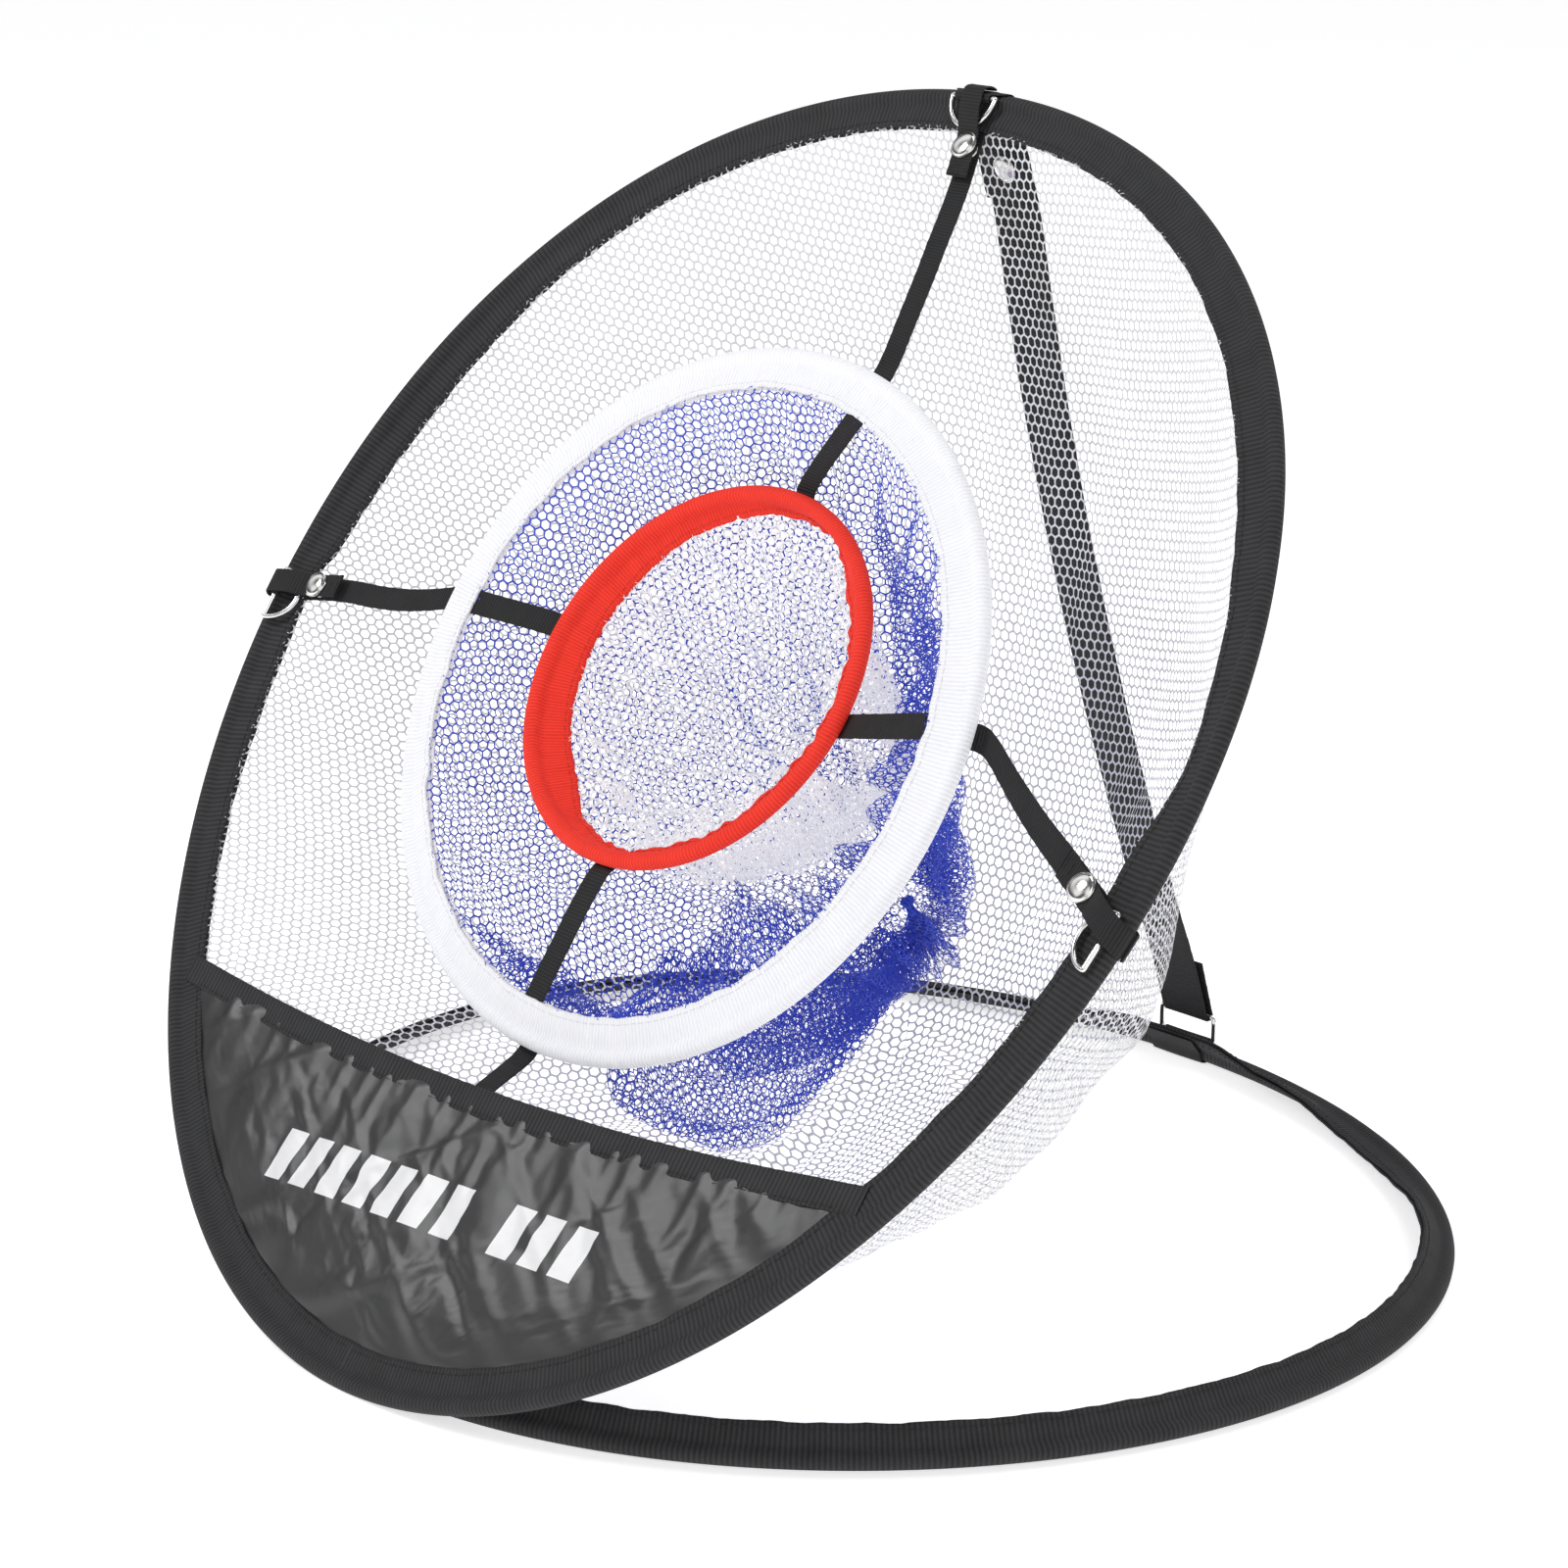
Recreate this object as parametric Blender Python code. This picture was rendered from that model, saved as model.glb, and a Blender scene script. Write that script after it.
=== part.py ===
"""Golf chipping net: a sprung face hoop with a bag net, held up from a sprung base hoop by a rear strap.

Two smaller target rings hang in the face on webbing straps, each with its own net.
Metres, +Z up. The face opens towards -Y; the origin is under the middle of the object, on the ground.
"""

import math

import bmesh
import bpy
import numpy as np
from mathutils import Vector

MM = 0.001
GAP = 0.3 * MM  # clearance between pieces that touch

# Placing of the whole object
HINGE_Y = -0.23905  # where the face plane meets the ground
FACE_LIFT = 0.2 * MM
FACE_TILT = math.radians(37.8)  # backwards from vertical

# Face hoop outline (outer edge), in its own plane: half width, half height, how much wider it is at the top
FACE_HALF_WIDTH, FACE_HALF_HEIGHT, FACE_EGG = 0.244, 0.275, -0.072
FACE_CLOCK = ((0.0, 11), (84.0, 13), (180.0, 12), (268.7, 12))  # strap angles, and segments up to the next

# Base hoop outline, on the ground
BASE_FRONT = 0.007
BASE_HALF_WIDTH, BASE_HALF_DEPTH, BASE_EGG = 0.255, 0.235, -0.086
BASE_CLOCK = ((0.0, 24), (180.0, 24))
BASE_LEAN = math.radians(49)  # the base tape leans up and inwards

# Target rings, placed in the face's plane
MIDDLE_RADIUS, MIDDLE_CENTRE_V, MIDDLE_TILT = 0.142, 0.283, math.radians(30.5)
MIDDLE_CLOCK = ((-5.0, 9), (97.6, 7), (167.0, 8), (263.6, 8))
MIDDLE_LEAN = math.radians(15)
INNER_RADIUS, INNER_CENTRE_V = 0.080, 0.294
INNER_CLOCK = ((0.7, 6), (88.6, 6), (174.4, 6), (266.8, 6))
INNER_LEAN = math.radians(-28)

# Folded binding tape: a tube round the wire, then two layers with a slot between them
TUBE_RADIUS, TAPE_WALL, SLOT_HALF, TAPE_WIDTH = 3.3 * MM, 0.7 * MM, 1.1 * MM, 16 * MM
WIRE_RADIUS = 1.2 * MM
FERRULE_RADIUS, FERRULE_BORE, FERRULE_LENGTH = 1.9 * MM, 1.5 * MM, 16 * MM
HELD_DEPTH = 8 * MM  # where a net or panel edge ends inside the tape, from the outer edge

# Webbing
STRAP_WIDTH, STRAP_THICK = 10 * MM, 0.8 * MM
REAR_WIDTH, REAR_THICK = 25 * MM, 1.0 * MM
TAB_THICK = 0.5 * MM
NET_THICK = 0.5 * MM

# Nets: deepest point behind the face or ring, where it is, and how fast the depth falls off up, sideways, down
OUTER_NET = {"depth": 0.19, "centre": (0.0, 0.24), "up": 1.05, "side": 0.72, "down": 1.65, "rows": 7}
MIDDLE_NET = {"depth": 0.15, "centre": (0.015, -0.03), "up": 0.95, "side": 0.8, "down": 0.9, "rows": 6}
INNER_NET = {"depth": 0.105, "centre": (0.01, -0.015), "up": 0.9, "side": 0.75, "down": 0.8, "rows": 5}

# Front panel
HEM_V, HEM_SLOPE, HEM_WIDTH = 0.131, 0.042, 11 * MM
PANEL_THICK = 0.5 * MM

# D-rings and snap fasteners
RING_WIRE = 1.1 * MM
RING_HALF_WIDTH, RING_REACH = 10.9 * MM, 11.8 * MM
REAR_RING_HALF_WIDTH, REAR_RING_REACH = 14.8 * MM, 12 * MM
BAR_S, BAR_H = 4.5 * MM, 5.4 * MM  # the D-ring's bar, from the hoop's outer edge and above the tape's middle
SNAP_S = 25 * MM
SNAP_STACK = 3.9 * MM  # between the middles of the two straps that a snap joins
CAP_RADIUS, CAP_HEIGHT, SOCKET_RADIUS, SOCKET_HEIGHT = 5.7 * MM, 2.2 * MM, 4.2 * MM, 1.6 * MM
SHANK_RADIUS, SHANK_HOLE, SOCKET_BORE, STUD_NIPPLE = 1.2 * MM, 1.6 * MM, 2.2 * MM, 1.6 * MM


def clear_scene():
    for item in list(bpy.data.objects):
        bpy.data.objects.remove(item)


def make_material(name, colour, roughness, metallic=0.0):
    made = bpy.data.materials.new(name)
    made.use_nodes = True
    shader = made.node_tree.nodes["Principled BSDF"]
    shader.inputs["Base Color"].default_value = (*colour, 1.0)
    shader.inputs["Roughness"].default_value = roughness
    shader.inputs["Metallic"].default_value = metallic
    made.diffuse_color = (*colour, 1.0)
    return made


def add_solid(name, points, faces, material, smooth=True, origin=None):
    """A closed mesh object with its faces pointing out, and its origin at the given point."""
    origin = Vector(origin) if origin is not None else Vector((0, 0, 0))
    mesh = bpy.data.meshes.new(name)
    mesh.from_pydata([tuple(Vector(p) - origin) for p in points], [], faces)
    shaped = bmesh.new()
    shaped.from_mesh(mesh)
    bmesh.ops.recalc_face_normals(shaped, faces=shaped.faces)
    if shaped.calc_volume(signed=True) < 0:
        bmesh.ops.reverse_faces(shaped, faces=shaped.faces)
    shaped.to_mesh(mesh)
    shaped.free()
    if smooth:
        mesh.shade_smooth()
        mesh.set_sharp_from_angle(angle=math.radians(35))
    mesh.materials.append(material)
    made = bpy.data.objects.new(name, mesh)
    made.location = origin
    bpy.context.collection.objects.link(made)
    return made


class Plane:
    """A plane with u to the right, v up its slope and w out of its front."""

    def __init__(self, origin, tilt):
        self.origin = Vector(origin)
        self.u = Vector((1, 0, 0))
        self.v = Vector((0, math.sin(tilt), math.cos(tilt)))
        self.w = Vector((0, -math.cos(tilt), math.sin(tilt)))

    def at(self, u, v, w=0.0):
        return self.origin + self.u * u + self.v * v + self.w * w


class Ground(Plane):
    """The ground: u to the right, v to the back, w up."""

    def __init__(self, origin):
        self.origin = Vector(origin)
        self.u, self.v, self.w = Vector((1, 0, 0)), Vector((0, 1, 0)), Vector((0, 0, 1))


class Place:
    """A spot on a hoop: s inwards across its tape, q along it, h out of its front."""

    def __init__(self, origin, s_axis, h_axis):
        self.origin = origin
        self.s = s_axis.normalized()
        self.h = (h_axis - self.s * h_axis.dot(self.s)).normalized()
        self.q = self.h.cross(self.s)

    def at(self, s, q=0.0, h=0.0):
        return self.origin + self.s * s + self.q * q + self.h * h

    def local(self, point):
        offset = point - self.origin
        return offset.dot(self.s), offset.dot(self.q), offset.dot(self.h)


def hoop_angles(clock):
    """Angles of the outline's corners, so that the middle of a side falls on each clock angle."""
    middles = []
    for (angle, count), (following, _) in zip(clock, clock[1:] + ((clock[0][0] + 360, 0),)):
        middles += list(np.linspace(angle, following, count, endpoint=False))
    nexts = middles[1:] + [middles[0] + 360]
    return [math.radians((a + b) / 2) for a, b in zip(middles, nexts)]


def side_at(clock, which):
    """The number of the side whose middle is on the clock angle, counted from its first corner."""
    return sum(count for _, count in clock[:which]) - 1


def egg(angle, half_width, half_height, lean):
    return (half_width * math.sin(angle) * (1 + lean * math.cos(angle)), half_height * (1 - math.cos(angle)))


def miters(outline):
    """At each corner, the inward vector that offsets both neighbouring sides by one unit."""
    found = []
    count = len(outline)
    for i in range(count):
        before, here, after = outline[i - 1], outline[i], outline[(i + 1) % count]
        normals = []
        for a, b in ((before, here), (here, after)):
            du, dv = b[0] - a[0], b[1] - a[1]
            length = math.hypot(du, dv)
            normals.append((-dv / length, du / length))
        (au, av), (bu, bv) = normals
        scale = 1 / (1 + au * bu + av * bv)
        found.append(((au + bu) * scale, (av + bv) * scale))
    return found


class Hoop:
    """A closed outline in a plane, and the stations along it that its tape and wire are swept through."""

    def __init__(self, plane, outline, lean=0.0):
        self.plane, self.outline, self.inward = plane, outline, miters(outline)
        self.stations = []
        for (u, v), (mu, mv) in zip(outline, self.inward):
            inward = plane.u * mu + plane.v * mv
            s_axis = inward * math.cos(lean) + plane.w * math.sin(lean)
            h_axis = plane.w * math.cos(lean) - inward * math.sin(lean)
            tube = plane.at(u, v) + inward * TUBE_RADIUS
            self.stations.append((tube - s_axis * TUBE_RADIUS, s_axis, h_axis))

    def inset(self, distance):
        return [(u + mu * distance, v + mv * distance) for (u, v), (mu, mv) in zip(self.outline, self.inward)]

    def place(self, side):
        (a, a_s, a_h), (b, b_s, b_h) = self.stations[side], self.stations[(side + 1) % len(self.stations)]
        along = (b - a).normalized()
        s_axis = a_s + b_s
        s_axis -= along * s_axis.dot(along)
        h_axis = a_h + b_h
        return Place((a + b) / 2, s_axis, h_axis)

    def sweep(self, name, section, material):
        count = len(section)
        points = [o + s * a + h * b for o, s, h in self.stations for a, b in section]
        faces = []
        total = len(self.stations)
        for i in range(total):
            here, after = i * count, (i + 1) % total * count
            for j in range(count):
                k = (j + 1) % count
                faces.append((here + j, here + k, after + k, after + j))
        return add_solid(name, points, faces, material)


def tape_section(angles):
    """The folded tape, open along its inner edge. The angles place the corners round the wire."""
    outer_half = SLOT_HALF + TAPE_WALL
    inner_radius = TUBE_RADIUS - TAPE_WALL
    outer_end = math.degrees(math.asin(outer_half / TUBE_RADIUS))
    inner_end = math.degrees(math.asin(SLOT_HALF / inner_radius))

    def turned(radius, end):
        return [
            (TUBE_RADIUS + radius * math.cos(math.radians(a)), radius * math.sin(math.radians(a)))
            for a in (end, *angles, 360 - end)
        ]

    outer = [(TAPE_WIDTH, outer_half), *turned(TUBE_RADIUS, outer_end), (TAPE_WIDTH, -outer_half)]
    inner = [(TAPE_WIDTH, SLOT_HALF), *turned(inner_radius, inner_end), (TAPE_WIDTH, -SLOT_HALF)]
    return outer + inner[::-1]


def round_section(radius, sides=6):
    return [
        (TUBE_RADIUS + radius * math.cos(2 * math.pi * i / sides), radius * math.sin(2 * math.pi * i / sides))
        for i in range(sides)
    ]


def add_binding(hoop, name, material, wire, angles=(91, 151, 209, 269)):
    hoop.sweep(f"{name}_binding", tape_section(angles), material)
    hoop.sweep(f"{name}_wire", round_section(WIRE_RADIUS), wire)
    side = len(hoop.stations) // 8
    place = hoop.place(side)
    middle = place.at(TUBE_RADIUS)
    add_sleeve(f"{name}_ferrule", middle, place.q, place.h, wire)


def add_sleeve(name, middle, axis, up, material, sides=8):
    across = axis.cross(up).normalized()
    points = []
    for end in (-0.5, 0.5):
        for radius in (FERRULE_RADIUS, FERRULE_BORE):
            for i in range(sides):
                turn = 2 * math.pi * (i + 0.5) / sides
                ray = up * math.cos(turn) + across * math.sin(turn)
                points.append(middle + axis * (end * FERRULE_LENGTH) + ray * radius)
    faces = []
    for i in range(sides):
        j = (i + 1) % sides
        a, b, c, d = 0, sides, 2 * sides, 3 * sides
        faces += [(a + i, a + j, c + j, c + i), (b + j, b + i, d + i, d + j)]
        faces += [(a + j, a + i, b + i, b + j), (c + i, c + j, d + j, d + i)]
    add_solid(name, points, faces, material)


def add_strap(name, path, across, thick, material):
    """A flat strip along a path of points. across holds each point's half-width vector."""
    count = len(path)
    points = []
    for i, (point, half) in enumerate(zip(path, across)):
        half = half if half.dot(across[0]) > 0 else -half
        ahead = (path[min(i + 1, count - 1)] - path[i]).normalized() if i < count - 1 else None
        behind = (path[i] - path[i - 1]).normalized() if i else None
        ways = [way for way in (behind, ahead) if way]
        normals = [half.cross(way).normalized() for way in ways]
        normal = sum(normals, Vector((0, 0, 0))).normalized()
        normal /= max(normal.dot(normals[0]), 0.3)
        for side in (-1, 1):
            for face in (-0.5, 0.5):
                points.append(point + half * side + normal * (face * thick))
    faces = [(0, 1, 3, 2)]
    for i in range(count - 1):
        a, b = 4 * i, 4 * (i + 1)
        faces += [(a + x, a + y, b + y, b + x) for x, y in ((0, 1), (1, 3), (3, 2), (2, 0))]
    last = 4 * (count - 1)
    faces.append((last, last + 2, last + 3, last + 1))
    return add_solid(name, points, faces, material, smooth=False)


def add_turned(name, middle, axis, profile, material, sides=12):
    """A turned solid. The profile is (radius, height) from the lowest point on the axis to the highest."""
    axis = axis.normalized()
    side = axis.orthogonal().normalized()
    other = axis.cross(side)
    points, rings = [], []
    for radius, height in profile:
        if radius == 0:
            rings.append([len(points)] * sides)
            points.append(middle + axis * height)
            continue
        rings.append(list(range(len(points), len(points) + sides)))
        for i in range(sides):
            turn = 2 * math.pi * i / sides
            points.append(middle + axis * height + (side * math.cos(turn) + other * math.sin(turn)) * radius)
    closed = profile[0][0] != 0
    pairs = list(zip(rings, rings[1:])) + ([(rings[-1], rings[0])] if closed else [])
    faces = []
    for low, high in pairs:
        for i in range(sides):
            j = (i + 1) % sides
            corners = (low[i], low[j], high[j], high[i])
            faces.append(tuple(dict.fromkeys(corners)))
    return add_solid(name, points, faces, material, origin=middle)


def add_loop(name, path, normal, radius, material, sides=6, origin=None):
    """A round wire along a closed flat path."""
    count = len(path)
    points = []
    for i in range(count):
        before = (path[i] - path[i - 1]).normalized()
        after = (path[(i + 1) % count] - path[i]).normalized()
        out = (before.cross(normal) + after.cross(normal)).normalized()
        out /= max(out.dot(before.cross(normal).normalized()), 0.5)
        for j in range(sides):
            turn = 2 * math.pi * (j + 0.5) / sides
            points.append(path[i] + out * (radius * math.cos(turn)) + normal * (radius * math.sin(turn)))
    faces = []
    for i in range(count):
        a, b = i * sides, (i + 1) % count * sides
        for j in range(sides):
            k = (j + 1) % sides
            faces.append((a + j, a + k, b + k, b + j))
    return add_solid(name, points, faces, material, origin=origin)


def drill(target, middle, axis, radius=SHANK_HOLE, depth=3 * MM):
    """A round hole through a strap, for the shank of a snap."""
    bpy.ops.mesh.primitive_cylinder_add(vertices=10, radius=radius, depth=depth, location=middle)
    cutter = bpy.context.object
    cutter.name = f"{target.name}_cutter"
    cutter.rotation_euler = axis.to_track_quat("Z", "Y").to_euler()
    cutter.hide_render = True
    cutter.display_type = "WIRE"
    cut = target.modifiers.new("hole", "BOOLEAN")
    cut.object = cutter
    cut.operation = "DIFFERENCE"


def add_net(name, hoop, settings, material):
    """A bag net: a thin closed shell from the slot in the tape back to its deepest point."""
    rim_outer = hoop.inset(HELD_DEPTH)
    count = len(rim_outer)
    centre_u, centre_v = settings["centre"]
    rows = settings["rows"]
    fronts, backs = [], []
    for depth_in in (HELD_DEPTH, TAPE_WIDTH + 0.5 * MM):
        fronts.append([o + s * depth_in - h * GAP for o, s, h in hoop.stations])
        backs.append([o + s * depth_in - h * (GAP + NET_THICK) for o, s, h in hoop.stations])
    plane = hoop.plane
    rim = [(p - plane.origin) for p in fronts[1]]
    rim = [(p.dot(plane.u), p.dot(plane.v), p.dot(plane.w)) for p in rim]
    grid = [fronts[1]]
    for row in range(1, rows + 1):
        share = math.cos(math.pi / 2 * row / (rows + 1))
        ring = []
        for u, v, w in rim:
            du, dv = u - centre_u, v - centre_v
            slope = dv / math.hypot(du, dv)
            fall = settings["side"]
            fall += (settings["up"] - fall) * max(slope, 0) + (settings["down"] - fall) * max(-slope, 0)
            depth = settings["depth"] * (1 - share**2) ** fall
            ring.append(plane.at(centre_u + du * share, centre_v + dv * share, w * share - depth))
        grid.append(ring)
    tip = plane.at(centre_u, centre_v, -settings["depth"])
    for row in range(1, rows + 1):
        below = grid[row + 1] if row < rows else [tip] * count
        outer = []
        for i in range(count):
            round_way = grid[row][(i + 1) % count] - grid[row][i - 1]
            down_way = below[i] - grid[row - 1][i]
            normal = round_way.cross(down_way).normalized()
            if normal.dot(plane.w) > 0:
                normal = -normal
            outer.append(grid[row][i] + normal * NET_THICK)
        fronts.append(grid[row])
        backs.append(outer)
    points = [p for ring in fronts for p in ring] + [p for ring in backs for p in ring]
    points += [tip, tip - plane.w * NET_THICK]
    rings = len(fronts)
    back = rings * count
    faces = []
    for i in range(count):
        j = (i + 1) % count
        faces.append((i, j, back + j, back + i))
        for ring in range(rings - 1):
            a, b = ring * count, (ring + 1) * count
            faces.append((a + j, a + i, b + i, b + j))
            faces.append((back + a + i, back + a + j, back + b + j, back + b + i))
        last = (rings - 1) * count
        faces.append((last + j, last + i, 2 * back))
        faces.append((back + last + i, back + last + j, 2 * back + 1))
    return add_solid(name, points, faces, material)


def hem_line(u):
    return HEM_V + HEM_SLOPE * u


def line_crossings(outline, offset):
    """Where an outline in the face's plane crosses the hem line moved up by the offset, left one first."""
    found = []
    for (au, av), (bu, bv) in zip(outline, outline[1:] + outline[:1]):
        a, b = av - hem_line(au) - offset, bv - hem_line(bu) - offset
        if a * b < 0:
            share = a / (a - b)
            found.append((au + (bu - au) * share, av + (bv - av) * share))
    return sorted(found)


def add_panel(face, panel_material, hem_material):
    """The closed panel below the target, and the webbing hem folded over its top edge."""
    held = face.inset(HELD_DEPTH)
    top = HEM_WIDTH / 2 - 1.5 * MM
    left, right = line_crossings(held, top)
    below = [p for p in held if p[1] < hem_line(p[0]) + top - 0.5 * MM]
    below.sort(key=lambda p: math.atan2(p[0], 0.3 - p[1]))
    outline = [left, *below, right]
    front, back = 0.05 * MM + PANEL_THICK, 0.05 * MM
    plane = face.plane
    points = [plane.at(u, v, w) for w in (back, front) for u, v in outline]
    count = len(outline)
    faces = [tuple(range(count)), tuple(range(2 * count - 1, count - 1, -1))]
    faces += [(i, (i + 1) % count, (i + 1) % count + count, i + count) for i in range(count)]
    add_solid("front_panel", points, faces, panel_material, smooth=False)

    inside = face.inset(TAPE_WIDTH + 1.0 * MM)
    ends = [line_crossings(inside, offset) for offset in (-HEM_WIDTH / 2, HEM_WIDTH / 2)]
    left_u = max(pair[0][0] for pair in ends)
    right_u = min(pair[-1][0] for pair in ends)
    low, high = -HEM_WIDTH / 2, HEM_WIDTH / 2
    slot_back, slot_front = back - GAP, front + GAP
    wall = 0.6 * MM
    section = (
        (low, slot_front + wall),
        (high, slot_front + wall),
        (high, slot_back - wall),
        (low, slot_back - wall),
        (low, slot_back),
        (top + GAP, slot_back),
        (top + GAP, slot_front),
        (low, slot_front),
    )
    points = [plane.at(u, hem_line(u) + dv, w) for u in (left_u, right_u) for dv, w in section]
    count = len(section)
    faces = [(0, 1, 6, 7), (1, 2, 5, 6), (2, 3, 4, 5)]
    faces += [tuple(count + i for i in face_ids[::-1]) for face_ids in faces[:3]]
    faces += [(i, (i + 1) % count, (i + 1) % count + count, i + count) for i in range(count)]
    add_solid("panel_hem", points, faces, hem_material, smooth=False)
    return slot_back - wall


def arc(centre, radius, start, end, steps):
    """Points of an arc in a place's (s, h) coordinates, angles in degrees."""
    return [
        (centre[0] + radius * math.cos(math.radians(a)), centre[1] + radius * math.sin(math.radians(a)))
        for a in np.linspace(start, end, steps)
    ]


def bar_hook():
    """The end of a tab, round a D-ring's bar, from the rim side over the bar and under it."""
    return arc((BAR_S, BAR_H), RING_WIRE + GAP + TAB_THICK / 2, 180, -60, 6)


def add_tab(name, place, width, hook_width, material):
    """A tab sewn behind the tape, over the rim and round the D-ring's bar."""
    radius = TUBE_RADIUS + GAP + TAB_THICK / 2 + 0.15 * MM
    behind = SLOT_HALF + TAPE_WALL + GAP + TAB_THICK / 2
    route = [(14 * MM, -behind), (8.5 * MM, -behind), *arc((TUBE_RADIUS, 0), radius, 285, 135, 6)]
    hook = bar_hook()
    path = [place.at(s, 0, h) for s, h in route + hook]
    across = [place.q * (width / 2)] * len(route) + [place.q * (hook_width / 2)] * len(hook)
    add_strap(name, path, across, TAB_THICK, material)


def add_dring(name, place, shift, material):
    """A D-ring lying over the tape: straight bar by the rim, bow inwards."""
    drop = BAR_H - (SLOT_HALF + TAPE_WALL + GAP + RING_WIRE)
    inward = (place.s * RING_REACH - place.h * drop).normalized()
    bar = place.at(BAR_S, shift, BAR_H)
    path = []
    for i in range(11):
        turn = math.pi * i / 10
        path.append(bar + place.q * (RING_HALF_WIDTH * math.cos(turn)) + inward * (RING_REACH * math.sin(turn)))
    path += [bar - place.q * (RING_HALF_WIDTH * 0.35), bar + place.q * (RING_HALF_WIDTH * 0.35)]
    add_loop(name, path, inward.cross(place.q).normalized(), RING_WIRE, material, origin=bar)


def add_cap(name, middle, out, strap_thick, material):
    """The domed half of a snap: middle is on the strap's own middle."""
    base = strap_thick / 2 + GAP
    tip = -(strap_thick / 2 + GAP + 0.5 * MM)
    profile = [(0, tip), (SHANK_RADIUS, tip), (SHANK_RADIUS, base), (CAP_RADIUS * 0.96, base)]
    profile.append((CAP_RADIUS, base + 0.5 * MM))
    for share in (0.35, 0.7):
        turn = share * math.pi / 2
        height = base + 0.5 * MM + (CAP_HEIGHT - 0.5 * MM) * math.sin(turn)
        profile.append((CAP_RADIUS * math.cos(turn), height))
    profile.append((0, base + CAP_HEIGHT))
    add_turned(name, middle, out, profile, material)


def add_socket(name, middle, out, strap_thick, material):
    top = -(strap_thick / 2 + GAP)
    low = top - SOCKET_HEIGHT
    profile = [(SOCKET_BORE, low), (SOCKET_RADIUS, low), (SOCKET_RADIUS, top), (SOCKET_BORE, top)]
    add_turned(name, middle, out, profile, material)


def add_stud(name, middle, out, strap_thick, material):
    """The stud half of a snap, riveted through its strap. middle is on the strap's own middle."""
    half = strap_thick / 2 + GAP
    disc = 0.6 * MM
    profile = [
        (0, -half - disc),
        (3.5 * MM, -half - disc),
        (3.5 * MM, -half),
        (SHANK_RADIUS, -half),
        (SHANK_RADIUS, half),
        (4.0 * MM, half),
        (4.0 * MM, half + disc),
        (STUD_NIPPLE, half + disc),
        (STUD_NIPPLE, half + disc + 0.9 * MM),
        (0, half + disc + 0.9 * MM),
    ]
    add_turned(name, middle, out, profile, material)


def leg_angle(away):
    """Where round a wire a strap leaves it, when it goes off in the (s, h) direction given."""
    return math.degrees(math.atan2(-away[0], away[1])) % 360


def add_keeper(where, place, slant, webbing, steel, away=None):
    """The strap that is sewn behind the hoop, comes over the rim and snaps down on the main strap.

    Where a tab's leg leaves the hoop in the (s, h) direction away, it is sewn to that leg instead.
    """
    stretch = math.sqrt(1 + slant**2)
    half = place.q * (STRAP_WIDTH / 2 * stretch)

    def laid(route):
        return [place.at(s, s * slant, h) for s, h in route]

    radius = TUBE_RADIUS + 2 * GAP + TAB_THICK + STRAP_THICK / 2 + 0.45 * MM
    behind = SLOT_HALF + TAPE_WALL + 2 * GAP + TAB_THICK + STRAP_THICK / 2
    if away:
        back = arc((TUBE_RADIUS, 0), radius, leg_angle(away), 190, 3)
        back.insert(0, (back[0][0] + away[0] * 7.5 * MM, back[0][1] + away[1] * 7.5 * MM))
    else:
        back = [(13 * MM, -behind), (9 * MM, -behind), *arc((TUBE_RADIUS, 0), radius, 280, 190, 4)]
    add_strap(f"anchor_{where}", laid(back), [half] * len(back), STRAP_THICK, webbing)

    over = BAR_H + RING_WIRE + 2 * GAP + TAB_THICK + STRAP_THICK / 2 + 0.2 * MM
    front = [
        (TUBE_RADIUS - radius, 0.7 * MM),
        (TUBE_RADIUS - radius + 0.1 * MM, 3.0 * MM),
        (-0.3 * MM, 5.8 * MM),
        (2.0 * MM, over),
        (6.6 * MM, over),
        (17.4 * MM, 5.4 * MM),
        (18.9 * MM, SNAP_STACK),
        (38.0 * MM, SNAP_STACK),
    ]
    flap = add_strap(f"flap_{where}", laid(front), [half] * len(front), STRAP_THICK, webbing)
    middle = place.at(SNAP_S, SNAP_S * slant, SNAP_STACK)
    drill(flap, middle, place.h)
    add_cap(f"cap_{where}", middle, place.h, STRAP_THICK, steel)
    add_socket(f"socket_{where}", middle, place.h, STRAP_THICK, steel)


def ring_end(place, width):
    """A strap's end, coming from outside a ring, going behind its rim and sewn to the back of its tape."""
    under = TUBE_RADIUS + GAP + STRAP_THICK / 2 + 0.3 * MM
    route = [(-4 * MM, -under), (4 * MM, -under), (8 * MM, -under + 1.0 * MM)]
    return [place.at(s, 0, h) for s, h in route], [place.q * (width / 2)] * len(route)


def add_main_strap(where, face_place, slant, ring_place, webbing, steel):
    stretch = math.sqrt(1 + slant**2)
    start = [face_place.at(s, s * slant, 0) for s in (17.2 * MM, 40 * MM)]
    across = [face_place.q * (STRAP_WIDTH / 2 * stretch)] * 2
    end, end_across = ring_end(ring_place, STRAP_WIDTH)
    strap = add_strap(f"strap_{where}", start + end, across + end_across, STRAP_THICK, webbing)
    middle = face_place.at(SNAP_S, SNAP_S * slant, 0)
    drill(strap, middle, face_place.h)
    add_stud(f"stud_{where}", middle, face_place.h, STRAP_THICK, steel)


def add_inner_strap(where, outer_place, inner_place, webbing):
    """From inside the middle ring's tape to the back of the inner ring's."""
    level = STRAP_THICK / 2
    start = [outer_place.at(s, 0, level) for s in (9 * MM, TAPE_WIDTH + 1.5 * MM)]
    across = [outer_place.q * (STRAP_WIDTH / 2)] * 2
    end, end_across = ring_end(inner_place, STRAP_WIDTH)
    add_strap(f"inner_strap_{where}", start + end, across + end_across, STRAP_THICK, webbing)


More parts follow.
